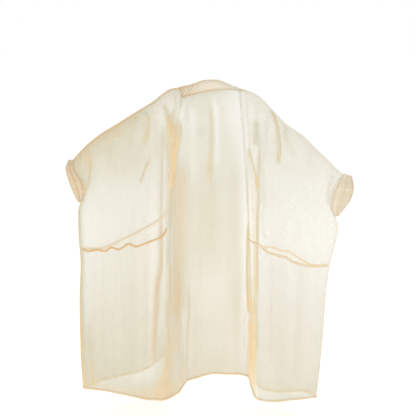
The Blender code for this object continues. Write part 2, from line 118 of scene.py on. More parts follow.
# A drop line: where it is across the cloak at four heights, how deep it hangs at five, and the
# height of the hem there
BACK = in_metres(DROP_FIELDS, [
    ("left side seam", -436, -412, -412, -407, -105, -88, -94, -106, -120, -966),
    ("left wing outer", -360, -345, -340, -333, -98, -104, -122, -142, -160, -963),
    ("left wing middle", -270, -258, -252, -245, -84, -104, -138, -175, -208, -966),
    ("left wing inner", -190, -183, -182, -180, -66, -106, -148, -196, -238, -969),
    ("left fold crest", -150, -132, -135, -138, -66, -119, -160, -202, -240, -966),
    ("left fold turn", -120, -108, -116, -99, -72, -112, -138, -160, -190, -963),
    ("left fold foot", -98, -88, -96, -70, -76, -106, -108, -92, -80, -954),
    ("left of the back", -60, -52, -55, -40, -92, -110, -106, -88, -72, -946),
    ("middle of the back", 18, 20, 22, 23, -98, -112, -108, -86, -65, -933),
    ("right of the back", 85, 88, 92, 96, -92, -109, -106, -86, -66, -935),
    ("right fold foot", 122, 124, 130, 135, -78, -105, -108, -94, -80, -940),
    ("right fold turn", 137, 139, 142, 143, -74, -112, -136, -152, -168, -957),
    ("right fold crest", 158, 157, 157, 158, -70, -120, -158, -202, -240, -967),
    ("right wing inner", 200, 200, 198, 196, -66, -112, -150, -204, -250, -971),
    ("right wing middle", 270, 266, 262, 258, -84, -108, -142, -186, -222, -975),
    ("right wing outer", 360, 344, 334, 308, -122, -120, -130, -150, -178, -984),
    ("right side seam", 436, 412, 397, 351, -130, -112, -114, -126, -140, -990),
])
LEFT_FRONT = in_metres(DROP_FIELDS, [
    ("left side seam", -436, -412, -412, -407, -56, -76, -88, -104, -120, -966),
    ("left front outer", -360, -345, -345, -343, -16, -26, -34, -38, -40, -962),
    ("left front middle", -270, -262, -262, -262, 12, 18, 20, 34, 48, -967),
    ("left front inner", -190, -195, -200, -208, 42, 54, 62, 82, 106, -965),
    ("left front fold", -150, -165, -173, -182, 54, 80, 92, 120, 146, -955),
    ("left front turn", -120, -146, -156, -160, 58, 88, 100, 128, 170, -942),
    ("left front edge", -98, -128, -138, -145, 60, 100, 118, 152, 200, -931),
])
RIGHT_FRONT = in_metres(DROP_FIELDS, [
    ("right front edge", 122, 138, 149, 161, 60, 92, 62, 12, -28, -976),
    ("right front turn", 137, 154, 163, 179, 58, 86, 56, 10, -22, -996),
    ("right front fold", 158, 172, 181, 200, 50, 78, 50, 8, -20, -1006),
    ("right front inner", 200, 206, 212, 230, 34, 56, 34, -2, -28, -1008),
    ("right front middle", 270, 262, 262, 270, 0, 14, 0, -28, -52, -999),
    ("right front outer", 360, 345, 338, 318, -44, -50, -60, -82, -100, -984),
    ("right side seam", 436, 412, 397, 351, -72, -98, -106, -124, -140, -990),
])
# Columns of gauze between the drop lines, closest together where the big folds are
BACK_COLUMNS = [24, 26, 26, 20, 16, 12, 18, 20, 18, 14, 8, 12, 20, 24, 26, 24]
LEFT_FRONT_COLUMNS = BACK_COLUMNS[:6]
RIGHT_FRONT_COLUMNS = BACK_COLUMNS[10:]

# The sleeve opening and its cuff, from the top of the wrist at 0 degrees to its underside at 180
LEFT_CUFF = in_metres(CUFF_FIELDS, [
    (0, -436, -225, -450, -226), (45, -431, -252, -455, -247), (90, -409, -286, -444, -287),
    (135, -401, -322, -431, -328), (180, -410, -354, -420, -357),
])
RIGHT_CUFF = in_metres(CUFF_FIELDS, [
    (0, 436, -268, 461, -274), (45, 419, -292, 464, -302), (90, 404, -327, 458, -333),
    (135, 397, -368, 441, -366), (180, 409, -400, 421, -398),
])
CUFF_HALF_DEPTH = 0.032

# The side seams, from the underside of the cuff to the hem
LEFT_SEAM = in_metres("z x y", [
    (-354, -410, -80), (-395, -419, -83), (-481, -417, -88), (-553, -412, -91), (-677, -416, -100),
    (-840, -414, -112), (-966, -407, -120),
])
RIGHT_SEAM = in_metres("z x y", [
    (-400, 409, -104), (-440, 419, -107), (-491, 409, -110), (-536, 397, -110), (-595, 387, -112),
    (-686, 378, -118), (-819, 369, -130), (-990, 351, -140),
])

# The large folds of a panel, from their upper to their lower end: how far they stand out of the
# cloth, and the share of their length over which each end fades
BACK_FOLDS = in_metres(FOLD_FIELDS, [
    ("left shoulder branch", -145, -35, -124, -170, 12, 10, 0.3),
    ("left blade fold", -88, -80, -116, -340, 13, 11, 0.3),
    ("left hem cone", -126, -640, -150, -1080, 16, 12, 0.3),
    ("middle back trough", 6, -40, -10, -700, 28, -10, 0.4),
    ("right armhole", 203, -50, 232, -240, 13, 12, 0.3),
    ("right blade fold", 148, -90, 160, -290, 13, 10, 0.4),
    ("right sleeve sag", 290, -200, 330, -420, 30, -10, 0.4),
    ("left sleeve sag", -330, -190, -350, -420, 30, -10, 0.4),
])
LEFT_FRONT_FOLDS = in_metres(FOLD_FIELDS, [
    ("left front band fold", -158, -200, -184, -940, 14, 10, 0.3),
])
RIGHT_FRONT_FOLDS = in_metres(FOLD_FIELDS, [
    ("right front band fold", 176, -180, 206, -1100, 16, 10, 0.3),
])

# The neck band's upper edge: its place, level with a place on the shoulder line
NECK_EDGE = in_metres("top_x x y z", [
    (-98, -80, 0, 12), (-84, -62, -24, 15), (-51, -40, -42, 23), (-10, -10, -49, 33), (30, 24, -49, 34),
    (77, 62, -38, 21), (108, 88, -18, 10), (122, 101, 0, 6),
])

# The tucks that run from the side seams to the big folds
LEFT_BACK_TUCK = in_metres("x z", [
    (-408, -509), (-385, -516), (-357, -508), (-330, -511), (-310, -499), (-285, -503), (-251, -485),
    (-233, -492), (-180, -473), (-158, -464), (-143, -454), (-136, -444), (-130, -430),
])
LEFT_FRONT_TUCK = in_metres("x z", [
    (-408, -510), (-353, -517), (-288, -497), (-228, -472), (-202, -460), (-180, -452), (-163, -444),
    (-153, -432), (-136, -405),
])
RIGHT_BACK_TUCK = in_metres("x z", [
    (133, -476), (159, -484), (176, -492), (198, -492), (216, -497), (232, -505), (255, -507),
    (268, -516), (294, -533), (320, -550), (346, -556), (388, -559),
])
RIGHT_FRONT_TUCK = in_metres("x z", [
    (151, -509), (166, -516), (186, -532), (201, -544), (239, -552), (255, -553), (281, -567),
    (303, -571), (327, -573), (388, -562),
])

# A crease runs through (x, z) places seen from behind. Its height is how far it stands out of the
# cloth, a trough's is below 0, and gold is how much denser and darker the gauze looks along it:
# doubled cloth along the fold lines, painted shade in the soft troughs and painted light on the
# ridges whose gold is below 0. The skew makes the side towards +X steeper, or the other side if it is
# below 0.
BACK_CREASES = in_metres(CREASE_FIELDS, [
    ("left shoulder branch", 6, 4.5, 0.44, -0.4, [(-143, -40), (-137, -71), (-130, -96), (-122.4, -118),
        (-119, -143)]),
    ("left neck branch", 6, 3.5, 0.22, 0, [(-108.6, -12), (-100, -51), (-109.5, -76), (-118, -98),
        (-119, -125)]),
    ("left stem", 6.2, 2.6, 0.22, -0.4, [(-122, -98), (-118, -143), (-119, -187), (-117, -233),
        (-118, -280), (-122.4, -327), (-126, -368), (-129, -410), (-131, -450)]),
    ("left blade fold", 5.8, 5, 0.34, 0.2, [(-97, -82), (-89, -118), (-91, -145), (-98, -170),
        (-104, -198), (-108, -230), (-113, -267), (-118.5, -320)]),
    ("left fold edge", 4, 2.2, 0.24, -0.5, [(-130, -400), (-131, -483), (-132, -524), (-128, -555),
        (-125, -590), (-124, -628), (-130, -661), (-133, -710), (-129, -762), (-127, -815),
        (-131, -858), (-140, -900), (-153, -960)]),
    ("left fold crest", 4.5, 2, 0.04, 0.4, [(-90, -540), (-93.5, -591), (-95, -640), (-98, -675),
        (-101, -714), (-105, -758), (-113, -800), (-119, -850)]),
    ("left fold upper hollow", 7, -2, -0.1, 0, [(-98, -250), (-99, -302), (-100, -400)]),
    ("left fold upper shade", 25.5, -1.2, 0.46, 0, [(-106, -190), (-103, -260), (-101, -340),
        (-98, -400), (-98, -500), (-101, -620), (-104, -740)]),
    ("left fold lower shade", 19, -1.2, 0.28, 0, [(-106, -650), (-109, -740), (-113, -800),
        (-118, -860), (-124, -920), (-134, -990)]),
    ("left pleat line", 2.8, 1.6, 0.26, 0.4, [(-58.5, -620), (-60, -713), (-64, -763), (-67, -831),
        (-69, -899), (-70, -960)]),
    ("left hem cone edge", 3.4, 2.5, 0.2, -0.3, [(-132, -800), (-138, -846), (-140, -874), (-150, -912),
        (-161, -965)]),
    ("left sleeve fold", 6.6, 5, 0.42, 0.3, [(-204, -68), (-190, -92), (-191, -126), (-205, -180)]),
    ("left sleeve upper fold", 5.5, 3, 0.2, 0, [(-234, -80), (-250, -122)]),
    ("left sleeve middle fold", 8, 3, 0.1, 0, [(-270, -100), (-286, -160)]),
    ("left sleeve long fold", 9, 3, 0.08, 0, [(-300, -112), (-318, -170), (-322, -240)]),
    ("left wrist fold", 4.2, 3.5, 0.22, 0, [(-381, -190), (-380, -254), (-388, -293), (-402, -338)]),
    ("left wrist upper pucker", 3.2, 2.2, 0.16, 0, [(-424, -222), (-416, -258)]),
    ("left wrist inner pucker", 3.2, 2.2, 0.16, 0, [(-401, -188), (-396, -224)]),
    ("left wrist lower pucker", 3.2, 2, 0.14, 0, [(-412, -238), (-402, -282)]),
    ("left elbow crease", 3, 2.2, 0.5, 0.3, [(-184, -213), (-200, -252), (-217, -300)]),
    ("left wing short line", 4.5, 1.8, 0.08, 0, [(-158, -255), (-160, -320), (-161, -400)]),
    ("left seam fall", 6.5, 3, 0.24, 0, [(-386, -740), (-378, -886), (-368, -990)]),
    ("left wing first fall", 11, 3, 0.06, 0.2, [(-356, -430), (-361, -1020)]),
    ("left wing second fall", 13, -3, 0.04, 0, [(-322, -360), (-328, -1020)]),
    ("left wing third fall", 10, 3, 0.06, -0.2, [(-288, -400), (-294, -1020)]),
    ("left wing fourth fall", 15, -3.5, 0.08, 0, [(-246, -330), (-252, -1020)]),
    ("left wing fifth fall", 12, 3.5, 0.05, 0.2, [(-196, -380), (-200, -1020)]),
    ("left back fall", 12, 4, 0.03, 0, [(-36, -300), (-34, -1000)]),
    ("left shoulder blade hollow", 5.5, -2.5, 0.14, 0, [(-68, -40), (-69, -105)]),
    ("left shoulder blade ridge", 8, 3, -0.1, 0, [(-50, -40), (-49, -150), (-47, -300)]),
    ("left of centre hollow", 12, -3, 0.05, 0, [(-17.5, -30), (-18, -90), (-17, -150)]),
    ("centre trough", 4.8, -4.5, 0.24, 0.3, [(8, -30), (12, -90), (12.7, -156), (9, -220), (4, -310)]),
    ("centre shade", 15, -3, 0.06, 0, [(6, -200), (6, -349), (4, -480)]),
    ("centre ridge", 7, 4, -0.18, 0, [(14, 0), (19, -30), (27, -67), (29.6, -155), (28, -250)]),
    ("right of centre hollow", 6.5, -2.5, 0.06, 0, [(47, -35), (51, -95)]),
    ("right of centre shade", 26, -3, 0.04, 0, [(74, -110), (80, -226), (78, -330)]),
    ("right shoulder blade hollow", 7, -2.5, 0.1, 0, [(119, -40), (123, -120)]),
    ("right back fall", 16, 4, 0.03, 0, [(48, -350), (56, -1000)]),
    ("right back trough", 12, -1.6, 0.06, 0, [(98, -320), (97, -600), (104, -1000)]),
    ("right pale line", 3, 1.5, 0.1, 0, [(119.6, -700), (119.7, -880)]),
    ("right blade fold", 7.8, 4, 0.42, 0.3, [(152, -88), (153, -134), (155.5, -182)]),
    ("right fold branch", 3.6, 1.6, 0.62, 0.3, [(129, -172), (137, -205), (144.6, -234), (153, -270),
        (159, -320)]),
    ("right fold edge", 3.8, 0.6, 0.72, 0.4, [(163, -160), (162, -232), (161, -311), (162, -349),
        (159, -389), (158, -452), (157, -536), (156.7, -592), (155, -639), (153.5, -685)]),
    ("right fold wide band", 7.5, 1.6, 0.5, 0.3, [(152, -640), (151.5, -685), (152, -733), (153, -768),
        (150, -807), (146.3, -842), (143.4, -886), (147, -960)]),
    ("right fold inner edge", 4, 0.6, 0.8, -0.4, [(127, -400), (127, -478), (126.3, -551), (127, -611),
        (129, -651), (131, -693), (132, -745)]),
    ("right fold lower inner edge", 3.4, 0.6, 0.6, -0.3, [(134.5, -735), (137, -799), (138, -832),
        (141.5, -875)]),
    ("right fold upper line", 3.8, 1.5, 0.24, 0, [(129, -170), (128, -283), (127, -420)]),
    ("right fold hollow", 12, -0.8, 0.06, 0, [(143, -560), (143, -680), (145, -800), (144, -920)]),
    ("right fold outer line", 2.8, 1.8, 0.24, 0.3, [(172, -360), (173, -406), (175, -445),
        (187, -470)]),
    ("right armhole", 4, 6, 0.7, 0.4, [(199, -54), (208, -76), (215.3, -93), (223.9, -130),
        (225.6, -151), (229.6, -175), (228.2, -207), (223, -244)]),
    ("right shoulder hollow", 8, -3, 0.06, 0, [(187, -90), (194, -152)]),
    ("right armhole hollow", 8, -3.5, 0.08, 0, [(210, -130), (216, -235)]),
    ("right sleeve crease", 4.5, 2.2, 0.18, 0, [(240, -104), (246, -125), (253, -178)]),
    ("right sleeve second crease", 8, 2.5, 0.06, 0, [(268, -135), (286, -205)]),
    ("right sleeve third crease", 10, 3, 0.05, 0, [(316, -175), (330, -250)]),
    ("right wrist crease", 6, 3, 0.18, 0, [(398, -262), (386, -318), (390, -372)]),
    ("right wing first fall", 3.4, 2, 0.16, 0, [(200, -500), (200, -593), (197, -880)]),
    ("right wing second fall", 16, 3.5, 0.05, 0, [(240, -380), (236, -1020)]),
    ("right wing slanted fall", 14, -4.5, 0.1, 0, [(312, -500), (297, -711), (274, -940)]),
    ("right wing outer fall", 12, 3.5, 0.05, 0, [(352, -470), (330, -1020)]),
])
LEFT_FRONT_CREASES = in_metres(CREASE_FIELDS, [
    ("left front upper turn line", 5, 3, 0.6, 0.3, [(-149, -110), (-152, -205), (-155, -307),
        (-156, -359), (-158, -463)]),
    ("left front turn line", 6.2, 4, 0.85, 0.3, [(-157, -400), (-158, -463), (-158, -551), (-159, -604),
        (-168, -658), (-174, -694), (-175, -737), (-179, -783), (-182, -837), (-185, -890),
        (-187, -980)]),
    ("left shoulder fold", 6.5, 4.5, 0.25, 0, [(-188, -55), (-176, -140), (-170, -240)]),
    ("left sleeve front fold", 7, 4, 0.25, 0, [(-232, -80), (-246, -135), (-266, -200)]),
    ("left sleeve front crease", 6.5, 3, 0.12, 0, [(-300, -125), (-318, -210)]),
    ("left wrist front fold", 4.5, 3, 0.35, 0, [(-386, -200), (-384, -262), (-396, -334)]),
    ("left front inner fall", 12, 5, 0.08, 0.2, [(-204, -260), (-212, -600), (-222, -1020)]),
    ("left front middle trough", 14, -4, 0.06, 0, [(-240, -240), (-246, -1020)]),
    ("left front outer fall", 13, 4.5, 0.06, 0, [(-286, -320), (-290, -660), (-284, -1020)]),
    ("left front wing fall", 11, 3.5, 0.06, 0, [(-344, -420), (-352, -1020)]),
])
RIGHT_FRONT_CREASES = in_metres(CREASE_FIELDS, [
    ("right chest fold", 7, 5, 0.28, -0.3, [(156, -20), (162, -110), (174, -240), (184, -420)]),
    ("right shoulder fold", 6.5, 4.5, 0.2, 0, [(196, -60), (190, -150), (188, -250)]),
    ("right sleeve front fold", 7, 4, 0.2, 0, [(250, -115), (262, -170), (284, -235)]),
    ("right sleeve front crease", 6.5, 3, 0.1, 0, [(324, -170), (340, -250)]),
    ("right wrist front fold", 5, 3, 0.2, 0, [(402, -260), (388, -320), (394, -376)]),
    ("right front inner fall", 12, 5, 0.08, -0.2, [(206, -260), (218, -620), (236, -1060)]),
    ("right front middle trough", 14, -4, 0.05, 0, [(240, -260), (250, -1060)]),
    ("right front outer fall", 13, 4.5, 0.05, 0, [(290, -340), (292, -700), (288, -1060)]),
])
CREASE_SAMPLES = 24
CREASE_REACH = 5.0  # how far to each side a crease is worked out, in half widths
CREASE_FADE = 0.16  # share of a crease's length over which each end fades
GOLD_SPREAD = 1.25  # how much wider the denser line is than its crease

# Broad soft patches where the gauze is drawn denser and darker: painted shade, and denser cloth in the
# folds
BACK_SHADES = in_metres("name x z half_width half_height gold", [
    ("upper middle of the back", -2, -270, 112, 310, 0.4),
    ("lower middle of the back", 0, -700, 100, 330, 0.16),
    ("top of the left fold", -114.5, -150, 24, 85, 0.44),
    ("right of the back", 92, -500, 30, 270, 0.2),
    ("left wing", -270, -380, 150, 260, 0.12),
    ("left wing foot", -250, -1020, 150, 75, 0.2),
    ("foot of the left fold", -150, -850, 26, 110, 0.12),
    ("left hem corner", -160, -985, 70, 80, 0.22),
    ("right wing foot", 250, -1020, 120, 60, 0.16),
    ("left sleeve", -280, -170, 165, 120, 0.3),
    ("left wrist", -400, -275, 40, 85, 0.2),
    ("right sleeve", 290, -180, 130, 110, 0.12),
])

# The gathers at the ends of the neck band, by their places on the shoulder line, and the painted shade
# beside each
NECK_GATHERS = in_metres("top_x half_width height gold", [
    (-89, 2.6, 2.4, 0.5), (-79, 2.4, 2.8, 0.7), (-67, 2.6, 2.8, 0.65), (-54, 2.6, 2.2, 0.5),
    (-41, 3, 1.6, 0.35), (-26, 3.4, 0.8, 0.15), (62, 5, 0.8, 0.06), (88, 4, 1.2, 0.15),
    (104, 3.4, 1.4, 0.2),
])
GATHER_STEP = 0.0055  # from the crest of a gather to the painted shade at its foot

BACKWARD = -1
FORWARD = 1


def smooth_step(share):
    share = np.clip(share, 0.0, 1.0)
    return share * share * (3.0 - 2.0 * share)


def ramp(value, start, end):
    """0 up to a start and 1 from an end on, rising smoothly between them."""
    return smooth_step((value - start) / (end - start))


def ends_fade(along, fade):
    """1 along a length, falling to 0 over a share of it at each end."""
    return smooth_step(along / fade) * smooth_step((1.0 - along) / fade)


def bell(distance, half_width):
    """1 at no distance, falling away to 0 on both sides."""
    return np.exp(-((distance / half_width) ** 2))


def lengths(points, axis=0):
    """How far along its line each point is, of a line or of a grid's rows or columns."""
    steps = np.diff(points, axis=axis, prepend=np.take(points, [0], axis=axis))
    return np.linalg.norm(steps, axis=-1).cumsum(axis=axis)


def at_places(places, far, values):
    """The values of a line of points, read at other places along it."""
    return np.stack([np.interp(places, far, column) for column in values.T], axis=1)


def read(places, heights, at):
    """Heights of smooth curves that never overshoot their points, one curve to a column.

    All three are tables with a column for each curve. Past its ends a curve runs straight on.
    """
    spans = np.diff(places, axis=0)
    secants = np.diff(heights, axis=0) / spans
    total = secants[:-1] + secants[1:]
    agree = secants[:-1] * secants[1:] > 0.0
    inner = np.where(agree, 2.0 * secants[:-1] * secants[1:] / np.where(agree, total, 1.0), 0.0)
    slope = np.concatenate([secants[:1], inner, secants[-1:]])
    i = np.zeros(at.shape, int)
    for knot in places[1:-1]:
        i += at > knot
    start, end = (np.take_along_axis(heights, i + step, 0) for step in (0, 1))
    slope_in, slope_out = (np.take_along_axis(slope, i + step, 0) for step in (0, 1))
    span = np.take_along_axis(spans, i, 0)
    t = (at - np.take_along_axis(places, i, 0)) / span
    inside = np.clip(t, 0.0, 1.0)
    found = start + (end - start) * smooth_step(inside)
    found += span * inside * (1.0 - inside) * (slope_in * (1.0 - inside) - slope_out * inside)
    return found + span * (np.minimum(t, 0.0) * slope_in + np.maximum(t - 1.0, 0.0) * slope_out)


def rows_at(table, key, at):
    """The row of a table at each place, read smoothly between its rows, as one row of arrays."""
    fields = [field for field in table[0]._fields if field != "name"]
    ordered = sorted(table, key=lambda row: getattr(row, key))
    numbers = np.array([[getattr(row, field) for field in fields] for row in ordered])
    places = np.repeat(numbers[:, [fields.index(key)]], len(fields), axis=1)
    at = np.asarray(at, float)
    found = read(places, numbers, np.repeat(at.reshape(-1, 1), len(fields), axis=1))
    columns = (column.reshape(at.shape) for column in found.T)
    return SimpleNamespace(**dict(zip(fields, columns)))


def share_out(stations, steps):
    """Places between stations, each span cut into its own number of equal steps."""
    places = [stations[0]]
    for start, end, count in zip(stations, stations[1:], steps):
        places.extend(start + (end - start) * i / count for i in range(1, count + 1))
    return np.array(places)


def between(first, second, share):
    return first + (second - first) * share


def unit(vectors):
    return vectors / np.maximum(np.linalg.norm(vectors, axis=-1, keepdims=True), TINY)


def stack(*columns):
    return np.stack(np.broadcast_arrays(*columns), axis=-1)


def fold_height(folds, x, z):
    total = np.zeros(x.shape)
    for fold in folds:
        along = (fold.top_z - z) / (fold.top_z - fold.bottom_z)
        middle = fold.top_x + (fold.bottom_x - fold.top_x) * along
        total += fold.depth * ends_fade(along, fold.fade) * bell(x - middle, fold.half_width)
    return total


def hang(line, facing, folds, share):
    """Points of drop lines that fall free from the shoulder line, a row for each share."""
    top = rows_at(TOP_LINE, "x", line.top_x)
    height = top.z - line.hem_z
    turn = top.turn / height
    lean = np.radians(top.lean)
    angle = lean + (math.pi / 2.0 - lean) * np.minimum(share / ROUND_SHARE, 1.0)
    round_fall = turn * (np.cos(lean) - np.cos(angle)) / np.cos(lean)
    out = (np.sin(angle) - np.sin(lean)) / (1.0 - np.sin(lean))
    round_y = top.y + (line.round_y - top.y) * out
    free_fall = turn + (1.0 - turn) * (share - ROUND_SHARE) / (1.0 - ROUND_SHARE)
    level = np.ones(turn.shape)
    depths = np.array([turn, CHEST * level, TUCK * level, KNEE * level, level])
    heights = np.array([line.round_y, line.chest_y, line.tuck_y, line.knee_y, line.hem_y])
    rounding = share <= ROUND_SHARE
    fall = np.where(rounding, round_fall, free_fall)
    y = np.where(rounding, round_y, read(depths, heights, np.maximum(free_fall, turn)))
    across = np.array([0.0 * level, CHEST * level, TUCK * level, level])
    x = read(across, np.array([line.top_x, line.chest_x, line.tuck_x, line.hem_x]), fall)
    z = top.z - height * fall
    rise = fold_height(folds, x, z) * smooth_step(share / ROUND_SHARE)
    return stack(x, y + facing * rise, z)


def cuff_middle(cuff, seam, angle):
    """The depth halfway between the back and the front of the sleeve opening."""
    top_y = rows_at(TOP_LINE, "x", cuff[0].inner_x).y
    return top_y + (seam[0].y - top_y) * angle / 180.0


def side(cuff, seam, facing, share):
    """Points of a side line: round the sleeve opening, then down the side seam."""
    angle = np.minimum(180.0 * share / OPENING_SHARE, 180.0)
    row = rows_at(cuff, "angle", angle)
    depth = facing * CUFF_HALF_DEPTH * np.sin(np.radians(angle))
    opening = stack(row.inner_x, cuff_middle(cuff, seam, angle) + depth, row.inner_z)
    down = np.maximum((share - OPENING_SHARE) / (1.0 - OPENING_SHARE), 0.0)
    z = seam[0].z + (seam[-1].z - seam[0].z) * down
    row = rows_at(seam, "z", z)
    return np.where((share <= OPENING_SHARE)[..., None], opening, stack(row.x, row.y, z))


Panel = namedtuple("Panel", "lines columns facing folds creases shades tucks ends")


def solid_points(panel, top_x, share):
    """Points on the inner face of a panel's solid, a row for each share."""
    line = rows_at(panel.lines, "top_x", top_x)
    points = hang(line, panel.facing, panel.folds, share)
    for end_line, next_line, cuff, seam in panel.ends:
        away = (top_x - end_line.top_x) / (next_line.top_x - end_line.top_x)
        pull = 1.0 - smooth_step(away)
        end = SimpleNamespace(**{key: np.array([value]) for key, value in end_line._asdict().items()
                                 if key != "name"})
        shift = side(cuff, seam, panel.facing, share) - hang(end, panel.facing, panel.folds, share)
        points = points + pull[:, None] * shift
    points[..., 1] += panel.facing * SEAM_GAP / 2.0
    return points


def facing_out(points, facing):
    """Directions out of the hollow, at the points of a grid."""
    normals = unit(grid_normals(points))
    return normals if normals[..., 1].mean() * facing > 0.0 else -normals


def grid_normals(points):
    return np.cross(np.gradient(points, axis=1), np.gradient(points, axis=0))


def crease_line(path):
    """A smooth line of points through a crease's places, and their shares of its length."""
    far = lengths(path)
    shares = np.linspace(0.0, 1.0, CREASE_SAMPLES)
    return read(stack(far, far), path, stack(shares, shares) * far[-1]), shares


def lay_creases(creases, x, z):
    """How far the creases lift the cloth at each place, and how dense they make it, with painted shade
    in the troughs.
    """
    seen = stack(x, z)
    lift, gold = np.zeros(x.shape), np.zeros(x.shape)
    for crease in creases:
        line, shares = crease_line(crease.path)
        reach = CREASE_REACH * crease.half_width
        low, high = line.min(0) - reach, line.max(0) + reach
        near = ((seen > low) & (seen < high)).all(axis=-1)
        spots = seen[near][:, None, :]
        step = line[1:] - line[:-1]
        t = np.clip(((spots - line[:-1]) * step).sum(-1) / (step ** 2).sum(-1), 0.0, 1.0)
        away = spots - (line[:-1] + t[..., None] * step)
        distance = np.linalg.norm(away, axis=-1)
        nearest = distance.argmin(axis=1)
        pick = np.arange(len(nearest)), nearest
        along = shares[nearest] + t[pick] * (shares[1] - shares[0])
        sideways = np.sign(away[pick][:, 0])
        width = crease.half_width * (1.0 - crease.skew * sideways)
        fade = ends_fade(along, CREASE_FADE)
        lift[near] += crease.height * fade * bell(distance[pick], width)
        gold[near] += crease.gold * fade * bell(distance[pick], GOLD_SPREAD * width)
    return lift, gold


# The gauze looks denser where it lies double, at the shoulder line and the side seams, and where
# it turns away from the back and the front, as light passes through it at a slant there. A pair
# is how much denser it is at the left end and at the right.
SLANT_START = 0.50
SLANT_GOLD = 0.18
SHOULDER_GOLD = (0.60, 0.06)
SHOULDER_DROP = 0.0065
UPPER_GOLD = (0.30, 0.02)  # over the arm, below the shoulder line
UPPER_DROP = 0.045
SIDE_GOLD = (0.52, 0.06)
SIDE_DEPTH = 0.014
LOWER_GOLD = (0.36, 0.17)  # towards the hem: denser cloth and painted shade, darker on the left
LOWER_START = 0.40
HEM_GOLD = 0.12
HEM_DEPTH = 0.05
LIT_START = 0.62  # how far the sides of folds face left where their painted glow, standing for light through them, begins
LIT_END = 0.95
CREASE_START = 0.06  # share of a drop line over which creases rise from the shoulder line

# Small puckers above and below a tuck, and slow waves down the whole sheet
PUCKER_HEIGHT = 0.0011
PUCKER_PITCH = 0.013
PUCKER_REACH = 0.014
WAVE_HEIGHT = 0.0016
WAVE_PITCH = 0.052
WAVES = 4
WAVE_SPAN = (0.6, 1.8)  # the shortest and the longest wave of an uneven line, in pitches


def uneven(places, pitch, seed):
    """Soft random waves along a length, from -1 to 1, about a pitch apart."""
    draw = np.random.default_rng(seed)
    total = np.zeros(np.shape(places))
    for _ in range(WAVES):
        length = pitch * draw.uniform(*WAVE_SPAN)
        total = total + np.sin(FULL_TURN * (places / length + draw.uniform()))
    return total / WAVES


def table_z(table, x):
    """The height of a tuck at each place across, and whether it runs there."""
    return rows_at(table, "x", x).z, (x >= table[0].x) & (x <= table[-1].x)


def make_sheet(panel, seed):
    """A panel's fine sheet: its points, directions out, lengths along the cloth and density, with
    painted shade in the density and a mask for painted glow.
    """
    top_x = share_out([line.top_x for line in panel.lines], panel.columns)
    rows = [ROUND_ROWS, SLEEVE_ROWS, SKIRT_ROWS]
    share = share_out([0.0, ROUND_SHARE, OPENING_SHARE, 1.0], rows)[:, None]
    solid = solid_points(panel, top_x, share)
    out = facing_out(solid, panel.facing)
    x, z = solid[..., 0], solid[..., 2]
    down, wide = lengths(solid, 0), lengths(solid, 1)
    lift, gold = lay_creases(panel.creases, x, z)
    lift += WAVE_HEIGHT * smooth_step(share) * uneven(wide, WAVE_PITCH, seed)
    for place, table in enumerate(panel.tucks):
        tuck_z, runs = table_z(table, x)
        near = bell(z - tuck_z, PUCKER_REACH) * runs
        lift += PUCKER_HEIGHT * near * uneven(wide, PUCKER_PITCH, seed + 1 + place)
    free = smooth_step(share / CREASE_START)
    points = solid + out * (WALL_PLACE + lift * free)[..., None]
    out = facing_out(points, panel.facing)
    slant = ramp(1.0 - np.abs(out[..., 1]), SLANT_START, 1.0)
    rightward = ramp(x, BACK[0].top_x, BACK[-1].top_x)
    turned = smooth_step(share / ROUND_SHARE)
    drop = points[:1, :, 2] - points[..., 2]
    gold = gold * free + SLANT_GOLD * slant * turned
    gold += between(*SHOULDER_GOLD, rightward) * bell(drop, SHOULDER_DROP)
    gold += between(*UPPER_GOLD, rightward) * bell(drop, UPPER_DROP)
    gold += between(*LOWER_GOLD, rightward) * ramp(share, LOWER_START, 1.0)
    gold += HEM_GOLD * bell(down[-1:] - down, HEM_DEPTH)
    # painted shade patches, laid in as extra density
    for shade in panel.shades:
        away = np.hypot((x - shade.x) / shade.half_width, (z - shade.z) / shade.half_height)
        gold += shade.gold * np.exp(-(away ** 4))
    for end in panel.ends:
        edge = wide if end[0].top_x == top_x[0] else wide[:, -1:] - wide
        seamed = between(*SIDE_GOLD, rightward) * smooth_step(share / OPENING_SHARE)
        gold += seamed * bell(edge, SIDE_DEPTH)
    return SimpleNamespace(
        facing=panel.facing, top_x=top_x, share=share[:, 0], points=points, out=out,
        places=stack(wide, -down), gold=gold,
        # where the sides of folds take painted glow
        lit=ramp(-out[..., 0], LIT_START, LIT_END) * turned,
    )


def on_sheet(values, column, row):
    """A value of a sheet at places between its columns and rows."""
    left = np.clip(np.floor(column).astype(int), 0, values.shape[1] - 2)
    upper = np.clip(np.floor(row).astype(int), 0, values.shape[0] - 2)
    across, below = (column - left)[..., None], (row - upper)[..., None]
    top = values[upper, left] * (1.0 - across) + values[upper, left + 1] * across
    bottom = values[upper + 1, left] * (1.0 - across) + values[upper + 1, left + 1] * across
    return top * (1.0 - below) + bottom * below


def sheet_route(sheet, column, row, lift):
    """Points off the outer side of a sheet, and the directions out there."""
    column, row = np.broadcast_arrays(np.asarray(column, float), np.asarray(row, float))
    out = unit(on_sheet(sheet.out, column, row))
    return on_sheet(sheet.points, column, row) + lift * out, out


def crossing(sheet, height):
    """The row at which each column of a sheet falls below a height."""
    gap = sheet.points[..., 2] - height
    columns = np.arange(gap.shape[1])
    lower = np.clip((gap < 0.0).argmax(axis=0), 1, None)
    above = gap[lower - 1, columns]
    return np.clip(lower - 1 + above / (above - gap[lower, columns]), 0, len(gap) - 1)


def column_of(sheet, top_x):
    return np.interp(top_x, sheet.top_x, np.arange(len(sheet.top_x)))


def row_of(sheet, share):
    return np.interp(share, sheet.share, np.arange(len(sheet.share)))


# Meshes


def new_object(name, data):
    made = bpy.data.objects.new(name, data)
    bpy.context.scene.collection.objects.link(made)
    return made


def mesh_object(name, form, material):
    """Makes an object of a bmesh."""
    mesh = bpy.data.meshes.new(name)
    form.to_mesh(mesh)
    form.free()
    mesh.materials.append(material)
    return new_object(name, mesh)


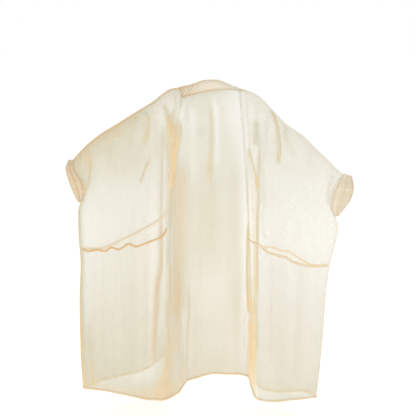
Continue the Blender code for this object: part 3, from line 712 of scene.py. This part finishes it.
def new_piece(name, cloth, material, replaces=()):
    """Makes an object that rides on the cloak and stands for the named solids."""
    piece = mesh_object(name, cloth, material)
    piece.data.shade_smooth()
    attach(piece, BODY)
    if replaces:
        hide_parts(*replaces)
    return piece


def lay_grid(points, places, looks):
    """A bmesh of a grid of points, rows down and columns across, seen from its outer side.

    The looks are named tables of numbers that its material reads.
    """
    rows, columns = points.shape[0] - 1, points.shape[1] - 1
    cloth = bmesh.new()
    weave = cloth.loops.layers.uv.new("Weave")
    layers = {name: cloth.verts.layers.float.new(name) for name in looks}
    bmesh.ops.create_grid(cloth, x_segments=columns, y_segments=rows, size=1.0)
    spots = {}
    for vertex in cloth.verts:
        row = round((1.0 - vertex.co.y) / 2.0 * rows)
        column = round((1.0 + vertex.co.x) / 2.0 * columns)
        spots[vertex] = (row, column)
    for face in cloth.faces:
        for loop in face.loops:
            loop[weave].uv = places[spots[loop.vert]]
    for vertex, spot in spots.items():
        vertex.co = points[spot]
        for name, layer in layers.items():
            vertex[layer] = looks[name][spot]
    return cloth


def add_wall(piece, thickness):
    wall = piece.modifiers.new("Wall", "SOLIDIFY")
    wall.thickness = thickness
    wall.offset = 1.0


def add_sheet(name, sheet, material, node):
    """A panel of gauze on the form of its solid."""
    step = 1 if sheet.facing == BACKWARD else -1
    looks = {"gold": sheet.gold[:, ::step], "lit": sheet.lit[:, ::step]}
    cloth = lay_grid(sheet.points[:, ::step], sheet.places[:, ::step], looks)
    piece = new_piece(name, cloth, material, [node])
    add_wall(piece, GAUZE)
    return piece


ROLL_SIDES = 10
ROLL_PITCH = 0.003  # between the rings of a roll
ROLL_WOBBLE = 0.13  # share of its size by which a roll swells and thins
ROLL_WAVE = 0.011
WELD = 1e-6


def add_roll(name, centres, out, half_height, half_depth, material, seed, replaces=()):
    """Cloth rolled tight along a line, flattened towards the panel and uneven in its size."""
    far = lengths(centres)
    even = np.linspace(0.0, far[-1], int(far[-1] / ROLL_PITCH))
    centres = at_places(even, far, centres)
    out = unit(at_places(even, far, out))
    down = unit(np.cross(unit(np.gradient(centres, axis=0)), out))
    size = (1.0 + ROLL_WOBBLE * uneven(even, ROLL_WAVE, seed))[:, None]
    turn = np.linspace(0.0, FULL_TURN, ROLL_SIDES + 1)[:, None, None]
    outward = half_depth * size * np.cos(turn) * out
    points = centres + outward + half_height * size * np.sin(turn) * down
    around = turn[..., 0] / math.pi * (half_height + half_depth)
    cloth = lay_grid(points, stack(even, around), {})
    bmesh.ops.remove_doubles(cloth, verts=cloth.verts, dist=WELD)
    bmesh.ops.holes_fill(cloth, edges=cloth.edges, sides=0)
    bmesh.ops.recalc_face_normals(cloth, faces=cloth.faces)
    return new_piece(name, cloth, material, replaces)


def add_hem(name, node, sheet, half_height, material, seed):
    """The rolled hem along the lower edge of a panel."""
    columns = np.arange(len(sheet.top_x))
    edge, out = sheet_route(sheet, columns, len(sheet.share) - 1, 0.0)
    level = unit(out * (1.0, 1.0, 0.0))
    outward = HEM_SEAT * HEM_HALF_DEPTH * level
    centres = edge + outward + np.array([0.0, 0.0, HEM_RISE * half_height])
    return add_roll(name, centres, level, half_height, HEM_HALF_DEPTH, material, seed, [node])


def add_tuck(name, node, sheet, table, seat, half_height, material, seed):
    """A rolled tuck lying on the outer side of a panel."""
    tuck_z, runs = table_z(table, sheet.points[..., 0])
    rows = crossing(sheet, tuck_z)
    columns = np.arange(len(rows))
    here = runs[np.rint(rows).astype(int), columns]
    lift = GAUZE + TUCK_HALF_DEPTH * seat
    centres, out = sheet_route(sheet, columns[here], rows[here], lift)
    return add_roll(name, centres, out, half_height, TUCK_HALF_DEPTH, material, seed, [node])


def add_ridge_seam(name, sheet, first_x, last_x, drop, half_height, material, seed):
    """The seam that joins the back and a front, a drop below the shoulder line and the arm."""
    first, last = (round(column_of(sheet, top_x)) for top_x in (first_x, last_x))
    columns = np.arange(first, last + 1)
    rows = crossing(sheet, sheet.points[0, :, 2] - drop)[columns]
    centres, out = sheet_route(sheet, columns, rows, RIDGE_HALF_DEPTH * RIDGE_SEAT)
    return add_roll(name, centres, out, half_height, RIDGE_HALF_DEPTH, material, seed)


def add_side_seam(name, sheet, column, material, seed):
    """The seam that joins the back and a front down the side."""
    rows = np.arange(row_of(sheet, OPENING_SHARE), len(sheet.share) - 0.5)
    centres, out = sheet_route(sheet, column, rows, 0.0)
    return add_roll(name, centres, out, SIDE_HALF_HEIGHT, SIDE_HALF_DEPTH, material, seed)


# A band folded over its free edge: lines of points along that edge and along its seam, the
# directions out, the width between the two lines, and the density along them
Band = namedtuple("Band", "edge seam out width gold")
TURN_ROWS = 4
FOLD_ROWS = 5
OUTER_ROWS = 17
EDGE_GOLD_DEPTH = 0.0028
STRIP_ROUND = 0.7  # the lower, the flatter a strip's middle and the steeper its sides
NECK_COLUMNS = 190
NECK_FADE = 0.012  # length over which the ends of the band settle on the gauze
NECK_GOLD = 0.14  # how dense the neck band is, and how much denser at its ends
NECK_END_GOLD = 0.8
FRONT_BAND_ROWS = 240
FRONT_RIPPLE = 0.0012
FRONT_RIPPLE_PITCH = 0.060
CUFF_COLUMNS = 120
CUFF_LIFT = 0.0010
CUFF_GIRTH = 0.185
CUFF_RIPPLE = 0.0014

# How a band is folded: how many strips of it show, how far each swells, and how much denser its
# free edge and its seam look
Folding = namedtuple("Folding", "strips swell edge_gold seam_gold")
NECK_FOLDING = Folding(1, 0.0012, 0.60, 0.50)
LEFT_FRONT_FOLDING = Folding(1, 0.0012, 0.40, 0.30)
RIGHT_FRONT_FOLDING = Folding(1, 0.0012, 0.55, 0.45)
LEFT_CUFF_FOLDING = Folding(2, 0.0032, 0.55, 0.60)
RIGHT_CUFF_FOLDING = Folding(2, 0.0026, 0.34, 0.24)

# The soft folds round a cuff: their pitch, how dense it is, and how much darker in their hollows,
# painted shade
Ripple = namedtuple("Ripple", "pitch gold hollow_gold")
LEFT_RIPPLE = Ripple(0.024, 0.50, 0.08)
RIGHT_RIPPLE = Ripple(0.022, 0.24, 0.14)


def across_band(band, distance, height):
    """Points at distances in from the free edge of a band and heights out, a row for each."""
    share = (distance / band.width)[:, None, None]
    return band.edge + (band.seam - band.edge) * share + height[:, None, None] * band.out


def band_swell(distance, width, folding):
    """How far a band of one or two strips stands out: a strip's middle is its highest."""
    across = np.clip(distance / width, 0.0, 1.0)
    return folding.swell * np.abs(np.sin(folding.strips * math.pi * across)) ** STRIP_ROUND


def add_band(name, node, band, folding, material):
    """A folded band, from the end of its turned-in layer, over its free edge, to its seam."""
    inner = np.linspace(TURN_IN, FOLD_RADIUS, TURN_ROWS)
    turn = np.radians(np.linspace(-90.0, 90.0, FOLD_ROWS + 2))[1:-1]
    outer = np.linspace(FOLD_RADIUS, band.width, OUTER_ROWS)
    distance = np.concatenate([inner, FOLD_RADIUS * (1.0 - np.cos(turn)), outer])
    height = np.concatenate([
        np.full(TURN_ROWS, -2.0 * FOLD_RADIUS),
        FOLD_RADIUS * (np.sin(turn) - 1.0),
        band_swell(outer - FOLD_RADIUS, band.width, folding),
    ])
    points = across_band(band, distance, height)
    lines = [band.width * strip / folding.strips for strip in range(folding.strips)]
    gold = sum(folding.edge_gold * bell(distance - line, EDGE_GOLD_DEPTH) for line in lines)
    gold = gold + folding.seam_gold * bell(distance - band.width, EDGE_GOLD_DEPTH)
    gold = gold[:, None] + np.full(points.shape[1], band.gold)
    places = stack(lengths(band.seam), -lengths(points))
    if (grid_normals(points)[-OUTER_ROWS:] * band.out).sum() > 0.0:
        points, places, gold = points[:, ::-1], places[:, ::-1], gold[:, ::-1]
    cloth = lay_grid(points, places, {"gold": gold, "lit": np.zeros(gold.shape)})
    bmesh.ops.remove_doubles(cloth, verts=cloth.verts, dist=WELD)
    piece = new_piece(name, cloth, material, [node])
    add_wall(piece, BAND_GAUZE)
    return piece


def neck_band(sheet):
    """The lines of the band round the back of the neck, gathered towards its ends."""
    top_x = np.linspace(LEFT_NECK_X, RIGHT_NECK_X, NECK_COLUMNS)
    column = column_of(sheet, top_x)
    seam, out = sheet_route(sheet, column, 0.0, BAND_LIFT)
    below, _ = sheet_route(sheet, column, 1.0, BAND_LIFT)
    seam = seam + LAP * unit(below - seam)
    row = rows_at(NECK_EDGE, "top_x", top_x)
    edge = stack(row.x, row.y, row.z)
    ripple, gold = 0.0, NECK_GOLD
    for gather in NECK_GATHERS:
        away = top_x - gather.top_x
        ripple = ripple + gather.height * bell(away, gather.half_width)
        # painted shade beside each gather's crest, laid in as gold
        gold = gold + gather.gold * bell(away - GATHER_STEP, gather.half_width)
    ends = 1.0 - smooth_step(np.minimum(top_x - LEFT_NECK_X, RIGHT_NECK_X - top_x) / NECK_FADE)
    rise = (ripple - BAND_LIFT * ends)[:, None] * out
    gold = gold + NECK_END_GOLD * ends
    return Band(edge + rise, seam + rise, out, NECK_BAND_WIDTH + LAP, gold)


def front_band(sheet, edge_x, seed):
    """The lines of the band down a front edge."""
    share = np.linspace(0.0, FRONT_BAND_FOOT, FRONT_BAND_ROWS)
    row = row_of(sheet, share)
    column = column_of(sheet, edge_x)
    inner_column = column + (-1.0 if edge_x < 0.0 else 1.0)
    at_edge, out = sheet_route(sheet, column, row, BAND_LIFT)
    inside, _ = sheet_route(sheet, inner_column, row, BAND_LIFT)
    along = unit(at_edge - inside)
    free = at_edge + FRONT_BAND_WIDTH * along
    ripple = FRONT_RIPPLE * uneven(lengths(at_edge), FRONT_RIPPLE_PITCH, seed)[:, None]
    return Band(free + ripple * out, at_edge - LAP * along, out, FRONT_BAND_WIDTH + LAP, 0.0)


def cuff_band(cuff, seam, ripple, seed):
    """The lines of a cuff, a ring that laps over the end of its sleeve."""
    turn = np.linspace(0.0, 360.0, CUFF_COLUMNS + 1)
    angle = np.minimum(turn, 360.0 - turn)
    around = np.radians(turn)
    row = rows_at(cuff, "angle", angle)
    out = stack(0.0, np.sin(around), np.cos(around))
    round_arm = CUFF_HALF_DEPTH * out * (0.0, 1.0, 0.0)
    middle = stack(0.0, cuff_middle(cuff, seam, angle), 0.0)
    inner = stack(row.inner_x, 0.0, row.inner_z) + middle + round_arm
    outer = stack(row.outer_x, 0.0, row.outer_z) + middle + round_arm
    across = unit(outer - inner)
    folds = uneven_ring(around, ripple.pitch, seed)
    # painted shade in the hollows of the cuff's folds
    gold = ripple.gold - ripple.hollow_gold * folds
    lift = CUFF_LIFT * out
    edge = outer + lift + CUFF_RIPPLE * folds[:, None] * out
    return Band(edge, inner + lift - LAP * across, out, CUFF_WIDTH, gold)


def uneven_ring(around, pitch, seed):
    """Soft random waves that meet themselves round a ring."""
    draw = np.random.default_rng(seed)
    counts = np.maximum(np.round(CUFF_GIRTH / pitch * draw.uniform(*WAVE_SPAN, WAVES)), 1.0)
    waves = [np.sin(count * around + FULL_TURN * draw.uniform()) for count in counts]
    return sum(waves) / WAVES


STITCH_PITCH = 0.0042
STITCH_LENGTH = 0.0026
STITCH_RADIUS = 0.00032
STITCH_INSET = 0.002  # how far from the seam of its band a row of stitches runs


def add_stitches(name, route, out, material):
    """A row of small stitches along a line on the cloth."""
    far = lengths(route)
    places = np.arange(STITCH_PITCH / 2.0, far[-1], STITCH_PITCH)
    spots, outs = at_places(places, far, route), at_places(places, far, out)
    alongs = unit(np.gradient(spots, axis=0))
    size = Matrix.Diagonal((STITCH_LENGTH / 2.0, STITCH_RADIUS, STITCH_RADIUS, 1.0))
    row = bmesh.new()
    for spot, away, along in zip(spots, outs, alongs):
        side_way = np.cross(away, along)
        turn = Matrix(np.stack([along, side_way, np.cross(along, side_way)], axis=1)).to_4x4()
        place = Matrix.Translation(Vector(spot)) @ turn @ size
        bmesh.ops.create_icosphere(row, subdivisions=1, radius=1.0, matrix=place)
    return new_piece(name, row, material)


def stitch_band(name, band, folding, material):
    """The row of stitches that holds a band down, beside its seam."""
    distance = np.array([band.width - STITCH_INSET])
    height = band_swell(distance - FOLD_RADIUS, band.width, folding) + BAND_GAUZE
    route = across_band(band, distance, height)[0]
    return add_stitches(name, route, unit(band.out), material)


# Shader maths


class Wire:
    """A number on a shader socket, which takes part in sums as a plain number does."""

    def __init__(self, nodes, socket):
        self.nodes = nodes
        self.socket = socket

    def sum(self, operation, first, second):
        return self.nodes.wire("ShaderNodeMath", {"operation": operation}, {0: first, 1: second})

    def __add__(self, other):
        return self.sum("ADD", self, other)

    __radd__ = __add__

    def __sub__(self, other):
        return self.sum("SUBTRACT", self, other)

    def __rsub__(self, other):
        return self.sum("SUBTRACT", other, self)

    def __mul__(self, other):
        return self.sum("MULTIPLY", self, other)

    def clipped(self):
        return self.nodes.wire("ShaderNodeClamp", {}, {0: self})

    def ramp(self, start, end):
        """0 up to a start and 1 from an end on, rising evenly between them."""
        return ((self - start) * (1.0 / (end - start))).clipped()


class Nodes:
    """The node tree of a material or of the room."""

    def __init__(self, owner):
        owner.use_nodes = True
        self.owner = owner
        self.tree = owner.node_tree

    def put(self, socket, value):
        if isinstance(value, Wire):
            self.tree.links.new(value.socket, socket)
        else:
            socket.default_value = value

    def node(self, kind, settings, sockets):
        made = self.tree.nodes.new(kind)
        for name, value in settings.items():
            setattr(made, name, value)
        for name, value in sockets.items():
            self.put(made.inputs[name], value)
        return made

    def wire(self, kind, settings, sockets, output=0):
        return Wire(self, self.node(kind, settings, sockets).outputs[output])

    def sine(self, value):
        return self.wire("ShaderNodeMath", {"operation": "SINE"}, {0: value})

    def mix(self, factor, first, second):
        """A colour between two colours."""
        sockets = {0: factor, 6: first, 7: second}
        return self.wire("ShaderNodeMix", {"data_type": "RGBA"}, sockets, 2)

    def attribute(self, name):
        return self.wire("ShaderNodeAttribute", {"attribute_name": name}, {}, "Fac")

    def object_place(self):
        return self.wire("ShaderNodeTexCoord", {}, {}, "Object")

    def bump(self, strength, distance, height):
        sockets = {"Strength": strength, "Distance": distance, "Height": height}
        return self.wire("ShaderNodeBump", {}, sockets)

    def noise(self, place, stretch, cell, detail):
        """Soft noise whose cells have a size in metres, stretched along the axes."""
        laid = self.wire("ShaderNodeMapping", {}, {"Vector": place, "Scale": stretch})
        sockets = {"Vector": laid, "Scale": 1.0 / cell, "Detail": detail}
        return self.wire("ShaderNodeTexNoise", {}, sockets)

    def weave_place(self):
        """The place on the cloth in metres, whole and as its two lengths."""
        place = self.wire("ShaderNodeUVMap", {"uv_map": "Weave"}, {})
        split = self.node("ShaderNodeSeparateXYZ", {}, {0: place})
        return place, Wire(self, split.outputs[0]), Wire(self, split.outputs[1])

    def finish(self, sockets):
        """Sets the sockets of the material's Principled shader, and gives the material back."""
        shader = self.tree.nodes["Principled BSDF"]
        for name, value in sockets.items():
            self.put(shader.inputs[name], value)
        return self.owner


def colour(red, green, blue):
    """A shader colour from display values of 0 to 255."""
    return tuple(((part / 255.0 + 0.055) / 1.055) ** 2.4 for part in (red, green, blue)) + (1.0,)


BLACK = colour(0, 0, 0)
CREAM = colour(244, 241, 229)
GOLD = colour(238, 212, 166)
BEIGE = colour(229, 223, 199)
# painted shade of the thickest folds
FOLD_SHADE = colour(224, 192, 146)
INNER_GOLD = colour(236, 190, 118)
INNER_PALE = colour(246, 214, 162)
BAND_CREAM = colour(248, 240, 220)
BAND_BEIGE = colour(236, 221, 192)
BAND_GOLD = colour(222, 186, 136)
PALE_GOLD = colour(249, 234, 206)
ROLLED_GOLD = colour(236, 206, 160)
TUCK_GOLD = colour(246, 216, 172)
DEEP_GOLD = colour(222, 174, 118)
WHITE = (1.0, 1.0, 1.0, 1.0)
THREAD_PITCH = 0.0012
THREAD_COVER = 0.04  # how much more of the gauze is covered where threads cross
SLUB_CELL = 0.0035
SLUB_STRETCH = 0.035
SLUB_DENSITY = 0.05  # how much denser a slub is than the gauze beside it
CRINKLE_CELL = 0.016
CRINKLE_STRETCH = 0.3
CRINKLE_RELIEF = 0.8  # the shares of the crinkle, the threads and the slubs in the relief
THREAD_RELIEF = 0.12
SLUB_RELIEF = 0.08
WHIP_LENGTH = 0.0034  # how far apart the turns of the whipping are along a roll, and round it
WHIP_ROUND = 0.0090
WHIP_RELIEF = 0.6  # its share of the relief; the rest is the patches
WHIP_HOLLOW_SHADE = 0.2  # painted shade: how much darker it is in its hollows
PATCH_CELL = 0.011
PATCH_TONE = 1.1  # how much darker a patch can be, and the noise below which there is none
PATCH_START = 0.1
FIBRE_CELL = 0.0011
CLEAR = 0.26  # cover of each face of the gauze where it hangs single
FOLDED_CLEAR = 0.66  # cover of the neck band and the left cuff where they are least dense
SOFT_FOLDED_CLEAR = 0.36  # of the right cuff
FRONT_FOLDED_CLEAR = 0.14  # of the front bands, which show through the back
DENSE = 0.88  # cover of the gauze in a tight fold
BEIGE_DENSITY = 0.45  # density at which the gauze looks beige, and from which it turns golden
FOLD_SHADE_DENSITY = 2.0  # density at which the painted shade of the thickest folds is full
FOLD_GLOW = 0.08  # painted glow of the golden folds, an emission standing for light through them from behind
SIDE_GLOW = 0.16  # and of the sides of folds that face left
INNER_GLOW = 0.12  # and of the rolls of the fronts, which lie in dim light behind the back
GAUZE_SURFACE = {
    "Roughness": 0.62,
    "Specular IOR Level": 0.25,
    "Sheen Weight": 0.2,
    "Sheen Roughness": 0.4,
}
ROLLED_SURFACE = {**GAUZE_SURFACE, "Roughness": 0.58}


def gauze_finish(name, base, middle, dense, fold_shade_colour, clear):
    """Sheer gauze: pale and clear where it hangs single, golden and dense where it folds, with painted
    shade where the folds pile up thickest.
    """
    nodes = Nodes(bpy.data.materials.new(name))
    place, warp, weft = nodes.weave_place()
    warp_thread = nodes.sine(warp * (FULL_TURN / THREAD_PITCH))
    weft_thread = nodes.sine(weft * (FULL_TURN / THREAD_PITCH))
    grid = (warp_thread * warp_thread + weft_thread * weft_thread) * 0.5
    warp_slub = nodes.noise(place, (1.0, SLUB_STRETCH, 1.0), SLUB_CELL, detail=2.0)
    weft_slub = nodes.noise(place, (SLUB_STRETCH, 1.0, 1.0), SLUB_CELL, detail=2.0)
    slub = warp_slub + weft_slub - 1.0
    layers = nodes.attribute("gold") + slub * SLUB_DENSITY
    density = layers.clipped()
    beige = density.ramp(0.0, BEIGE_DENSITY)
    golden = density.ramp(BEIGE_DENSITY, 1.0)
    painted_fold_shade = layers.ramp(1.0, FOLD_SHADE_DENSITY)
    tone = nodes.mix(golden, nodes.mix(beige, base, middle), dense)
    threads = grid * THREAD_COVER - THREAD_COVER / 2.0
    cover = (density * (DENSE - clear) + (clear + threads) + slub * SLUB_DENSITY).clipped()
    crinkle_stretch = (1.0, 1.0, CRINKLE_STRETCH)
    crinkle = nodes.noise(nodes.object_place(), crinkle_stretch, CRINKLE_CELL, detail=3.0)
    relief = crinkle * CRINKLE_RELIEF + grid * THREAD_RELIEF + slub * SLUB_RELIEF
    # painted glow: emission standing for light through the golden folds and their left-facing sides
    glow = (golden - painted_fold_shade) * FOLD_GLOW + nodes.attribute("lit") * SIDE_GLOW
    return nodes.finish({
        **GAUZE_SURFACE,
        "Base Color": nodes.mix(painted_fold_shade, tone, fold_shade_colour),
        "Emission Color": nodes.mix(glow, BLACK, dense),
        "Emission Strength": 1.0,
        "Alpha": cover,
        "Normal": nodes.bump(strength=0.2, distance=0.0015, height=relief),
    })


def rolled_finish(name, base, dense, glow):
    """Gauze rolled tight and whipped down, with the slant of the whipping in it, painted shade in its
    hollows and an optional painted glow.
    """
    nodes = Nodes(bpy.data.materials.new(name))
    place, along, around = nodes.weave_place()
    slant = along * (FULL_TURN / WHIP_LENGTH) + around * (FULL_TURN / WHIP_ROUND)
    ridges = nodes.sine(slant) * 0.5 + 0.5
    patches = nodes.noise(place, (1.0, 1.0, 1.0), PATCH_CELL, detail=3.0)
    # random patches, and painted shade in the whipping's hollows
    tone = (patches * PATCH_TONE - PATCH_START + (1.0 - ridges) * WHIP_HOLLOW_SHADE).clipped()
    relief = ridges * WHIP_RELIEF + patches * (1.0 - WHIP_RELIEF)
    return nodes.finish({
        **ROLLED_SURFACE,
        "Base Color": nodes.mix(tone, base, dense),
        "Emission Color": dense,
        "Emission Strength": glow,
        "Normal": nodes.bump(strength=0.4, distance=0.0006, height=relief),
    })


def thread_finish(name, base, dense):
    """The sewing thread, lightly twisted."""
    nodes = Nodes(bpy.data.materials.new(name))
    fibre = nodes.noise(nodes.object_place(), (1.0, 1.0, 1.0), FIBRE_CELL, detail=1.0)
    return nodes.finish({"Base Color": nodes.mix(fibre, base, dense), "Roughness": 0.5})


# The room: a pale floor under soft light, seen from the place of the photograph

FLOOR_Z = -1.052
FLOOR_HALF_WIDTH = 150.0
FLOOR_GLOW = 0.33
ROOM_LIGHT = 0.71
CLEAR_BOUNCES = 48  # a ray crosses many clear layers of gauze
BOUNCES = 8
CAMERA_PLACE = Vector((0.0, -3.8, 0.144))
CAMERA_AIM = Vector((0.0, 0.0, -0.389))
CAMERA_LENS = 100.6
CAMERA_REACH = 600.0
Lamp = namedtuple("Lamp", "name place width power")
LAMPS = [
    Lamp("key softbox", (1.6, -3.9, 2.5), 2.4, 25.5),
    Lamp("fill softbox", (-3.0, -3.0, 1.4), 3.0, 14.0),
    Lamp("front softbox", (0.6, 3.6, 2.2), 3.0, 30.0),
]


def make_room():
    scene = bpy.context.scene
    ground = bmesh.new()
    bmesh.ops.create_grid(ground, x_segments=1, y_segments=1, size=FLOOR_HALF_WIDTH)
    bmesh.ops.translate(ground, verts=ground.verts, vec=(0.0, 0.0, FLOOR_Z))
    pale = Nodes(bpy.data.materials.new("pale floor")).finish({
        "Base Color": (0.96, 0.96, 0.96, 1.0),
        "Roughness": 0.9,
        "Specular IOR Level": 0.1,
        "Emission Color": WHITE,
        "Emission Strength": FLOOR_GLOW,
    })
    mesh_object("floor", ground, pale)

    world = bpy.data.worlds.new("studio")
    nodes = Nodes(world)
    seen = nodes.wire("ShaderNodeLightPath", {}, {}, "Is Camera Ray")
    air = nodes.tree.nodes["Background"]
    nodes.put(air.inputs["Color"], WHITE)
    nodes.put(air.inputs["Strength"], seen * (1.0 - ROOM_LIGHT) + ROOM_LIGHT)
    scene.world = world

    for lamp in LAMPS:
        light = bpy.data.lights.new(lamp.name, "AREA")
        light.size = lamp.width
        light.energy = lamp.power
        holder = new_object(lamp.name, light)
        holder.location = lamp.place
        holder.rotation_euler = aimed(Vector(lamp.place), CAMERA_AIM)

    camera_data = bpy.data.cameras.new("photo view")
    camera_data.lens = CAMERA_LENS
    camera_data.clip_end = CAMERA_REACH
    camera = new_object("photo view", camera_data)
    camera.location = CAMERA_PLACE
    camera.rotation_euler = aimed(CAMERA_PLACE, CAMERA_AIM)
    scene.camera = camera
    scene.view_settings.view_transform = "Standard"
    scene.cycles.transparent_max_bounces = CLEAR_BOUNCES
    scene.cycles.max_bounces = BOUNCES


def aimed(place, aim):
    return (aim - place).to_track_quat("-Z", "Y").to_euler()


# How wide and long each piece was cut, in metres, and the area of the cloth in it
Cut = namedtuple("Cut", "width length area")
LEFT_FRONT_CUT = Cut(0.46, 0.98, 0.34)
RIGHT_FRONT_CUT = Cut(0.42, 0.98, 0.28)
NECK_CUT = Cut(0.30, 0.048, 0.013)
FRONT_BAND_CUT = Cut(1.18, 0.036, 0.040)
LEFT_CUFF_CUT = Cut(0.20, 0.058, 0.011)
RIGHT_CUFF_CUT = Cut(0.22, 0.078, 0.016)


def make_cloak():
    gauze = gauze_finish("cream gauze", CREAM, BEIGE, GOLD, FOLD_SHADE, CLEAR)
    front_gauze = gauze_finish("front gauze", CREAM, BEIGE, INNER_GOLD, INNER_GOLD, CLEAR)
    band_shades = BAND_CREAM, BAND_BEIGE, BAND_GOLD, BAND_GOLD
    folded = gauze_finish("folded gauze", *band_shades, FOLDED_CLEAR)
    front_folded = gauze_finish("front band gauze", CREAM, BEIGE, GOLD, GOLD, FRONT_FOLDED_CLEAR)
    rolled = rolled_finish("rolled gauze", PALE_GOLD, ROLLED_GOLD, 0.0)
    pale = rolled_finish("pale rolled gauze", CREAM, PALE_GOLD, 0.0)
    tucked = rolled_finish("tucked gauze", TUCK_GOLD, DEEP_GOLD, 0.0)
    pale_tucked = rolled_finish("pale tucked gauze", PALE_GOLD, TUCK_GOLD, 0.0)
    front_tucked = rolled_finish("front tucked gauze", INNER_PALE, INNER_GOLD, INNER_GLOW)
    soft_folded = gauze_finish("clear folded gauze", *band_shades, SOFT_FOLDED_CLEAR)
    thread = thread_finish("sewing thread", GOLD, DEEP_GOLD)

    left_end = (BACK[0], BACK[1], LEFT_CUFF, LEFT_SEAM)
    right_end = (BACK[-1], BACK[-2], RIGHT_CUFF, RIGHT_SEAM)
    left_front_end = (LEFT_FRONT[0], LEFT_FRONT[1], LEFT_CUFF, LEFT_SEAM)
    right_front_end = (RIGHT_FRONT[-1], RIGHT_FRONT[-2], RIGHT_CUFF, RIGHT_SEAM)
    back = make_sheet(Panel(
        BACK, BACK_COLUMNS, BACKWARD, BACK_FOLDS, BACK_CREASES, BACK_SHADES,
        [LEFT_BACK_TUCK, RIGHT_BACK_TUCK], [left_end, right_end],
    ), seed=10)
    left = make_sheet(Panel(
        LEFT_FRONT, LEFT_FRONT_COLUMNS, FORWARD, LEFT_FRONT_FOLDS, LEFT_FRONT_CREASES, [],
        [LEFT_FRONT_TUCK], [left_front_end],
    ), seed=20)
    right = make_sheet(Panel(
        RIGHT_FRONT, RIGHT_FRONT_COLUMNS, FORWARD, RIGHT_FRONT_FOLDS, RIGHT_FRONT_CREASES, [],
        [RIGHT_FRONT_TUCK], [right_front_end],
    ), seed=30)

    back_cloth = add_sheet("back_gauze", back, gauze, "back_panel")
    left_cloth = add_sheet("left_front_gauze", left, front_gauze, "left_front_panel")
    right_cloth = add_sheet("right_front_gauze", right, front_gauze, "right_front_panel")
    back_rolls = [
        add_hem("back_rolled_hem", "back_hem", back, HEM_HALF_HEIGHT, rolled, seed=41),
        add_tuck("left_back_rolled_tuck", "left_back_tuck", back, LEFT_BACK_TUCK, BACK_SEAT,
                 TUCK_HALF_HEIGHT, tucked, seed=42),
        add_tuck("right_back_rolled_tuck", "right_back_tuck", back, RIGHT_BACK_TUCK, BACK_SEAT,
                 FINE_TUCK_HALF_HEIGHT, pale_tucked, seed=43),
        add_ridge_seam("left_ridge_seam", back, BACK[0].top_x, LEFT_NECK_X, LEFT_RIDGE_DROP,
                       LEFT_RIDGE_HALF_HEIGHT, tucked, seed=44),
        add_ridge_seam("right_ridge_seam", back, RIGHT_NECK_X, BACK[-1].top_x, RIGHT_RIDGE_DROP,
                       RIGHT_RIDGE_HALF_HEIGHT, pale, seed=45),
        add_side_seam("left_side_seam", back, 0, rolled, seed=46),
        add_side_seam("right_side_seam", back, len(back.top_x) - 1, pale, seed=47),
    ]
    fronts = [
        ("left_front", left, left_cloth, LEFT_FRONT_TUCK, LEFT_FRONT_CUT, 51),
        ("right_front", right, right_cloth, RIGHT_FRONT_TUCK, RIGHT_FRONT_CUT, 61),
    ]
    for name, sheet, cloth, tuck, cut, seed in fronts:
        hem = add_hem(f"{name}_rolled_hem", f"{name}_hem", sheet, FRONT_HEM_HALF_HEIGHT,
                      front_tucked, seed)
        roll = add_tuck(f"{name}_rolled_tuck", f"{name}_tuck", sheet, tuck, FRONT_SEAT,
                        FRONT_TUCK_HALF_HEIGHT, front_tucked, seed + 1)

    left_band = front_band(left, LEFT_NECK_X, seed=98)
    right_band = front_band(right, RIGHT_NECK_X, seed=122)
    left_cuff = cuff_band(LEFT_CUFF, LEFT_SEAM, LEFT_RIPPLE, seed=71)
    right_cuff = cuff_band(RIGHT_CUFF, RIGHT_SEAM, RIGHT_RIPPLE, seed=72)
    bands = [
        ("neck_folded_band", "neck_band", "neck_stitches",
         neck_band(back), NECK_FOLDING, folded, NECK_CUT, back_cloth),
        ("left_front_folded_band", "left_front_band", "left_front_stitches",
         left_band, LEFT_FRONT_FOLDING, front_folded, FRONT_BAND_CUT, left_cloth),
        ("right_front_folded_band", "right_front_band", "right_front_stitches",
         right_band, RIGHT_FRONT_FOLDING, front_folded, FRONT_BAND_CUT, right_cloth),
        ("left_folded_cuff", "left_cuff", "left_cuff_stitches",
         left_cuff, LEFT_CUFF_FOLDING, folded, LEFT_CUFF_CUT, back_cloth),
        ("right_folded_cuff", "right_cuff", "right_cuff_stitches",
         right_cuff, RIGHT_CUFF_FOLDING, soft_folded, RIGHT_CUFF_CUT, back_cloth),
    ]
    for name, node, stitches_name, band, folding, material, cut, carrier in bands:
        piece = add_band(name, node, band, folding, material)
        stitches = stitch_band(stitches_name, band, folding, thread)


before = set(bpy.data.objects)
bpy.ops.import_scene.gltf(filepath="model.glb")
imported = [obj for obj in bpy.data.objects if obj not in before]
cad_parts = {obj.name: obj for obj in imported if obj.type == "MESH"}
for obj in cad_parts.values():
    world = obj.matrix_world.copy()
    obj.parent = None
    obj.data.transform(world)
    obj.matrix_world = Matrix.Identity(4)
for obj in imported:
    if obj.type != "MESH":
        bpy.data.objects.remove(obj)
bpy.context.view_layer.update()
make_room()
make_cloak()
